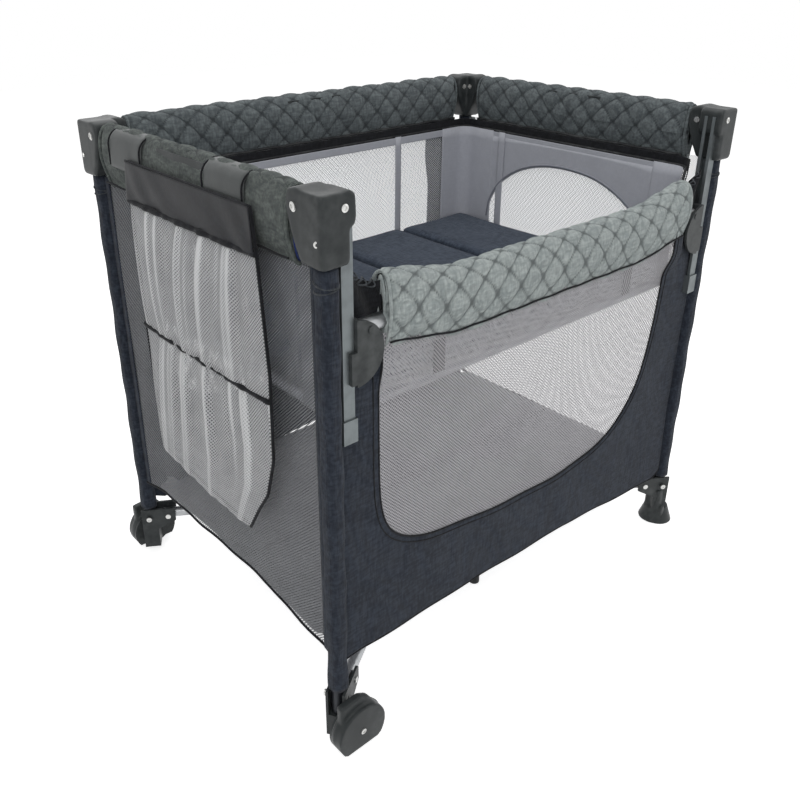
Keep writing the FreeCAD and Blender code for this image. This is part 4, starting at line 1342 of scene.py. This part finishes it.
# ---------------------------------------------------------------- mattress
PANEL_PITCH = 0.194
for number in range(4):
    low_x = -0.388 + PANEL_PITCH * number + 0.0010
    high_x = low_x + PANEL_PITCH - 0.0020
    start_piece()
    middle = ((low_x + high_x) / 2, 0.0, (0.5388 + 0.5628) / 2)
    bpy.ops.mesh.primitive_cube_add(size=1, location=middle, scale=(high_x - low_x - 0.004, 0.520, 0.0185))
    pad = bpy.context.object
    pad.name = "mattress_pad_%d" % (number + 1)
    bpy.ops.object.transform_apply(location=True, rotation=True, scale=True)
    bpy.ops.object.mode_set(mode="EDIT")
    bpy.ops.mesh.select_all(action="SELECT")
    bpy.ops.mesh.bevel(offset=0.006, segments=3, affect="EDGES")
    bpy.ops.object.mode_set(mode="OBJECT")
    bpy.ops.object.modifier_add(type="REMESH")
    pad.modifiers[-1].mode = "VOXEL"
    pad.modifiers[-1].voxel_size = 0.0055
    bpy.ops.object.modifier_apply(modifier=pad.modifiers[-1].name)
    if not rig.quick():
        before = [vertex.co.copy() for vertex in pad.data.vertices]
        bpy.ops.object.modifier_add(type="CLOTH")
        settings = pad.modifiers[-1].settings
        settings.use_pressure = True
        settings.uniform_pressure_force = 4
        settings.effector_weights.gravity = 0
        pad.modifiers[-1].point_cache.frame_start = 1
        pad.modifiers[-1].point_cache.frame_end = 20
        for step in range(1, 21):
            bpy.context.scene.frame_set(step)
        bpy.ops.object.modifier_apply(modifier=pad.modifiers[-1].name)
        bpy.context.scene.frame_set(1)
        for vertex, rest in zip(pad.data.vertices, before):
            move = vertex.co - rest
            if move.length > 0.004:
                move *= 0.004 / move.length
            vertex.co = rest + move
    for vertex in pad.data.vertices:
        vertex.co.x = min(max(vertex.co.x, low_x), high_x)
        vertex.co.z = max(vertex.co.z, 0.5386)
        if vertex.co.z > 0.55:
            vertex.co.z += 0.0012 * math.sin(vertex.co.x * 24 + number) * math.sin(vertex.co.y * 15)
            vertex.co.z = min(vertex.co.z, 0.5640)
    dress(pad, "mattress_heather", "mattress_fabric")
    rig.padded(pad, 0.6)
    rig.ride(pad, "mattress_panel_%d" % (number + 1))
    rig.replaces(pad, "mattress_panel_%d" % (number + 1))

# ---------------------------------------------------------------- skirt under the dropped rail
def skirt_shape(u, v):
    x = -0.345 + 0.690 * u
    z = 0.563 + 0.004 * math.sin(x * 9) + 0.112 * v
    pleat = 0.0045 * math.sin(x * 95 + 0.6 * math.sin(x * 23)) * (0.35 + 0.65 * (1 - v))
    return (x, -0.2860 + pleat, z)


skirt = cloth("front_skirt_net", 230, 24, (1.0, 0.112), skirt_shape, "white_net", "grey_mesh")
skirt_parts = [skirt]
for number, x in enumerate((-0.232, 0.218)):
    def strap_shape(u, v, x=x):
        return (x + 0.011 * (u * 2 - 1), -0.2930, 0.562 + 0.105 * v)
    skirt_parts.append(cloth("skirt_strap_%d" % (number + 1), 4, 16, (0.022, 0.11), strap_shape, "elastic",
                             "navy_fabric", 0.001))
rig.sheet(skirt, (0.80, 0.112), "gathered", rests_on=["rail_front_left_half", "rail_front_right_half"],
         with_pieces=skirt_parts[1:])
for piece in skirt_parts:
    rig.ride(piece, "slider_left")
    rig.squash(piece, "fold", (1, 0, 0), (-POST_X, -POST_Y, 0.6), FOLD_X)

# ---------------------------------------------------------------- black gussets and loops at the cover's ends
for side, sx in (("left", -1), ("right", 1)):
    def gusset_shape(u, v, sx=sx):
        x = sx * (0.398 - 0.056 * u)
        low_z = 0.672 - 0.020 * u
        high_z = 0.752 - 0.024 * u - 0.008 * math.sin(math.pi * u)
        z = low_z + (high_z - low_z) * v
        return (x, -0.2960 + 0.0030 * math.sin(u * 7 + v * 5), z)
    gusset = cloth("gusset_" + side, 14, 16, (0.056, 0.082), gusset_shape, "binding", "navy_fabric", 0.0012)
    parts = [gusset]
    for number, share in enumerate((0.15, 0.40, 0.65)):
        loop = []
        for step in range(18):
            angle = 2 * math.pi * step / 18
            loop.append((sx * (0.398 - 0.056 * share) + 0.0055 * math.cos(angle),
                         -0.2985 + 0.0035 * math.sin(angle * 2),
                         0.750 - 0.024 * share - 0.008 * math.sin(math.pi * share) + 0.0050 * math.sin(angle)))
        parts.append(tape("loop_%s_%d" % (side, number + 1), loop, 0.0011, "elastic", "navy_fabric",
                          closed=True))
    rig.sheet(gusset, (0.056, 0.082), "gathered", rests_on=["slider_" + side], with_pieces=parts[1:])
    for piece in parts:
        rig.ride(piece, "slider_" + side)
        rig.squash(piece, "drop_side" if side == "left" else "drop_side_right", (0, 0, 1), (0, -0.30, 0.668),
                  0.30)

# ---------------------------------------------------------------- organiser
LEFT_EDGE = ((0.318, 0.137), (0.557, 0.141), (0.759, 0.143), (0.819, 0.143))
RIGHT_EDGE = ((0.318, -0.129), (0.400, -0.185), (0.466, -0.205), (0.595, -0.209), (0.759, -0.196),
              (0.815, -0.189))


def organiser_point(u, v, swell):
    """u runs from the front edge to the rear edge, v from the bottom to the top."""
    z = 0.322 + 0.495 * v
    front = interpolate(RIGHT_EDGE, z)
    rear = interpolate(LEFT_EDGE, z)
    y = front + (rear - front) * u
    if v < 0.08:
        z += 0.018 * (u - 0.35) * (0.08 - v) / 0.08
    return (-0.4540 - swell, y, z)


def org_back_shape(u, v):
    return organiser_point(u, v, 0.0004 + 0.0010 * math.sin(u * 13) * math.sin(v * 9))


def pocket_swell(u, v, low, high, seed, depth=0.022):
    """Gathered net: deep folds at the elastic top that open out below."""
    share = min(max((v - low) / (high - low), 0), 1)
    belly = math.sin(math.pi * min(share * 0.92 + 0.08, 1)) ** 0.6
    lean = u + 0.10 * (1 - share) * math.sin(seed + u * 4)
    folds = math.sin(lean * 31 + seed + 1.5 * math.sin(u * 9 + seed))
    folds += 0.7 * math.sin(lean * 67 + seed * 3) + 0.4 * math.sin(lean * 113 + seed)
    edge = math.sin(math.pi * u) ** 0.35 if 0 < u < 1 else 0
    return 0.003 + edge * (0.25 + 0.75 * belly) * (depth * 0.60 + 0.0046 * folds * (0.35 + 0.65 * share))


org_back = cloth("organiser_back", 60, 90, (0.34, 0.50), org_back_shape, "grey_net", "organiser_fabric")
org_parts = [org_back]
satin_low = (0.757 - 0.322) / 0.495


def satin_shape(u, v):
    share = satin_low + (1 - satin_low) * v
    drape = 0.0058 + 0.0035 * math.sin(math.pi * u) * (1 - v)
    drape += 0.0020 * math.sin(u * 8 + v * 2.6 + 1.6 * math.sin(u * 5 + 1)) * (1 - v * 0.5)
    drape += 0.0008 * math.sin(u * 26 - v * 5 + 2 * math.sin(u * 7)) * (1 - v * 0.7)
    return organiser_point(u, share, drape)


satin = cloth("organiser_satin", 90, 24, (0.34, 0.062), satin_shape, "satin", "organiser_fabric", 0.0010)
org_parts.append(satin)
band_share = (0.557 - 0.322) / 0.495
for label, low, high, seed in (("lower", 0.0, band_share, 0.7), ("upper", band_share, satin_low, 2.9)):
    def pocket_shape(u, v, low=low, high=high, seed=seed):
        share = low + (high - low) * v
        return organiser_point(u, share, pocket_swell(u, share, low, high, seed))
    pocket = cloth("organiser_%s_pocket" % label, 140, 44, (0.45, 0.24), pocket_shape, "pocket_net",
                   "organiser_fabric")
    marks = pocket.data.attributes.new("gather", "FLOAT", "POINT")
    gathers = []
    for vertex in pocket.data.vertices:
        u = vertex.index % 141 / 140
        v = vertex.index // 141 / 44
        lean = u + 0.10 * (1 - v) * math.sin(seed + u * 4)
        streak = math.sin(lean * 31 + seed + 1.5 * math.sin(u * 9 + seed)) + 0.8 * math.sin(lean * 67 + seed * 3)
        streak += 0.5 * math.sin(lean * 163 + seed * 2)
        gathers.append(smoothstep(0.1, 1.6, streak) * (0.55 + 0.45 * v))
    marks.data.foreach_set("value", gathers)
    org_parts.append(pocket)
    lip = [Vector(pocket_shape(i / 80, 1.0)) + Vector((-0.0014, 0, 0.002)) for i in range(81)]
    org_parts.append(tape("organiser_%s_lip" % label, lip, 0.0042, "binding", "organiser_fabric"))
edge_line = [organiser_point(0, 1 - i / 60, 0.0028) for i in range(61)]
edge_line += [organiser_point(i / 30, 0, 0.0028) for i in range(1, 31)]
edge_line += [organiser_point(1, i / 60, 0.0028) for i in range(1, 61)]
edge_line += [organiser_point(1 - i / 30, 1, 0.0028) for i in range(1, 30)]
binding = tape("organiser_binding", edge_line, 0.0024, "binding", "organiser_fabric", closed=True)
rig.sheet(org_back, (0.34, 0.50), "hung", rests_on=["cover_left_rear_half"], with_pieces=[binding])
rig.sheet(satin, (0.34, 0.062), "hung", rests_on=["organiser_back"])
for piece in org_parts:
    if piece.name.endswith("_pocket"):
        lip_tape = bpy.data.objects[piece.name.replace("_pocket", "_lip")]
        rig.sheet(piece, (0.40, 0.24), "gathered", rests_on=["organiser_back"], with_pieces=[lip_tape])
for piece in (*org_parts, binding):
    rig.ride(piece, "frame_back_left")
    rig.squash(piece, "fold", (0, 1, 0), (-POST_X, POST_Y, 0.4), FOLD_Y)
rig.replaces(org_back, "organiser")

# ---------------------------------------------------------------- studio
start_piece()
bpy.ops.mesh.primitive_plane_add(size=14, location=(0, 0, -0.0005))
ground = bpy.context.object
ground.name = "studio_floor"
bpy.ops.object.transform_apply(location=True)
material, tree, shader, place = new_material("studio_floor_paint")
shader.inputs["Base Color"].default_value = (0.90, 0.90, 0.90, 1)
shader.inputs["Roughness"].default_value = 0.9
shader.inputs["Specular IOR Level"].default_value = 0.0
rays = add(tree, "LightPath")
seen = maths(tree, "MAXIMUM", rays.outputs["Is Camera Ray"], rays.outputs["Is Glossy Ray"])
seen = maths(tree, "MAXIMUM", seen, rays.outputs["Is Transmission Ray"])
shader.inputs["Emission Color"].default_value = (1, 1, 1, 1)
tree.links.new(maths(tree, "MULTIPLY", seen, 0.74), shader.inputs["Emission Strength"])
ground.data.materials.append(material)
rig.stage(ground)

world = bpy.data.worlds.new("studio_air")
bpy.context.scene.world = world
world.use_nodes = True
tree = world.node_tree
rays = add(tree, "LightPath")
seen = maths(tree, "MAXIMUM", rays.outputs["Is Camera Ray"], rays.outputs["Is Glossy Ray"])
seen = maths(tree, "MAXIMUM", seen, rays.outputs["Is Transmission Ray"])
WORLD_LIGHT = 0.34
strength = maths(tree, "ADD", maths(tree, "MULTIPLY", seen, 1.0 - WORLD_LIGHT), WORLD_LIGHT)
tree.links.new(strength, tree.nodes["Background"].inputs["Strength"])
tree.nodes["Background"].inputs["Color"].default_value = (1, 1, 1, 1)

for name, place, size, power in (
    ("key_softbox", (-1.9, -2.2, 2.7), 1.6, 30),
    ("fill_softbox", (2.4, -1.8, 1.8), 2.0, 11),
    ("top_softbox", (0.2, 0.4, 3.0), 2.2, 23),
    ("rear_softbox", (0.6, 2.6, 2.2), 1.8, 9),
):
    start_piece()
    bpy.ops.object.light_add(type="AREA", location=place)
    lamp = bpy.context.object
    lamp.name = name
    lamp.data.energy = power
    lamp.data.size = size
    aim = Vector((0, 0, 0.45)) - Vector(place)
    lamp.rotation_euler = aim.to_track_quat("-Z", "Y").to_euler()

start_piece()
bpy.ops.object.camera_add(location=(-0.982, -1.029, 1.087),
                          rotation=(math.radians(64.77), 0.0, math.radians(-41.11)))
camera = bpy.context.object
camera.name = "studio_camera"
camera.data.sensor_width = 36.0
camera.data.lens = 37.62
camera.data.shift_x = 0.0238
camera.data.shift_y = -0.061
bpy.context.scene.camera = camera
bpy.context.scene.view_settings.view_transform = "Standard"

shown_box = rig.bounds()
with open("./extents.json", "w") as size_file:
    json.dump([[list(corner) for corner in cad_box], [list(corner) for corner in shown_box]], size_file)
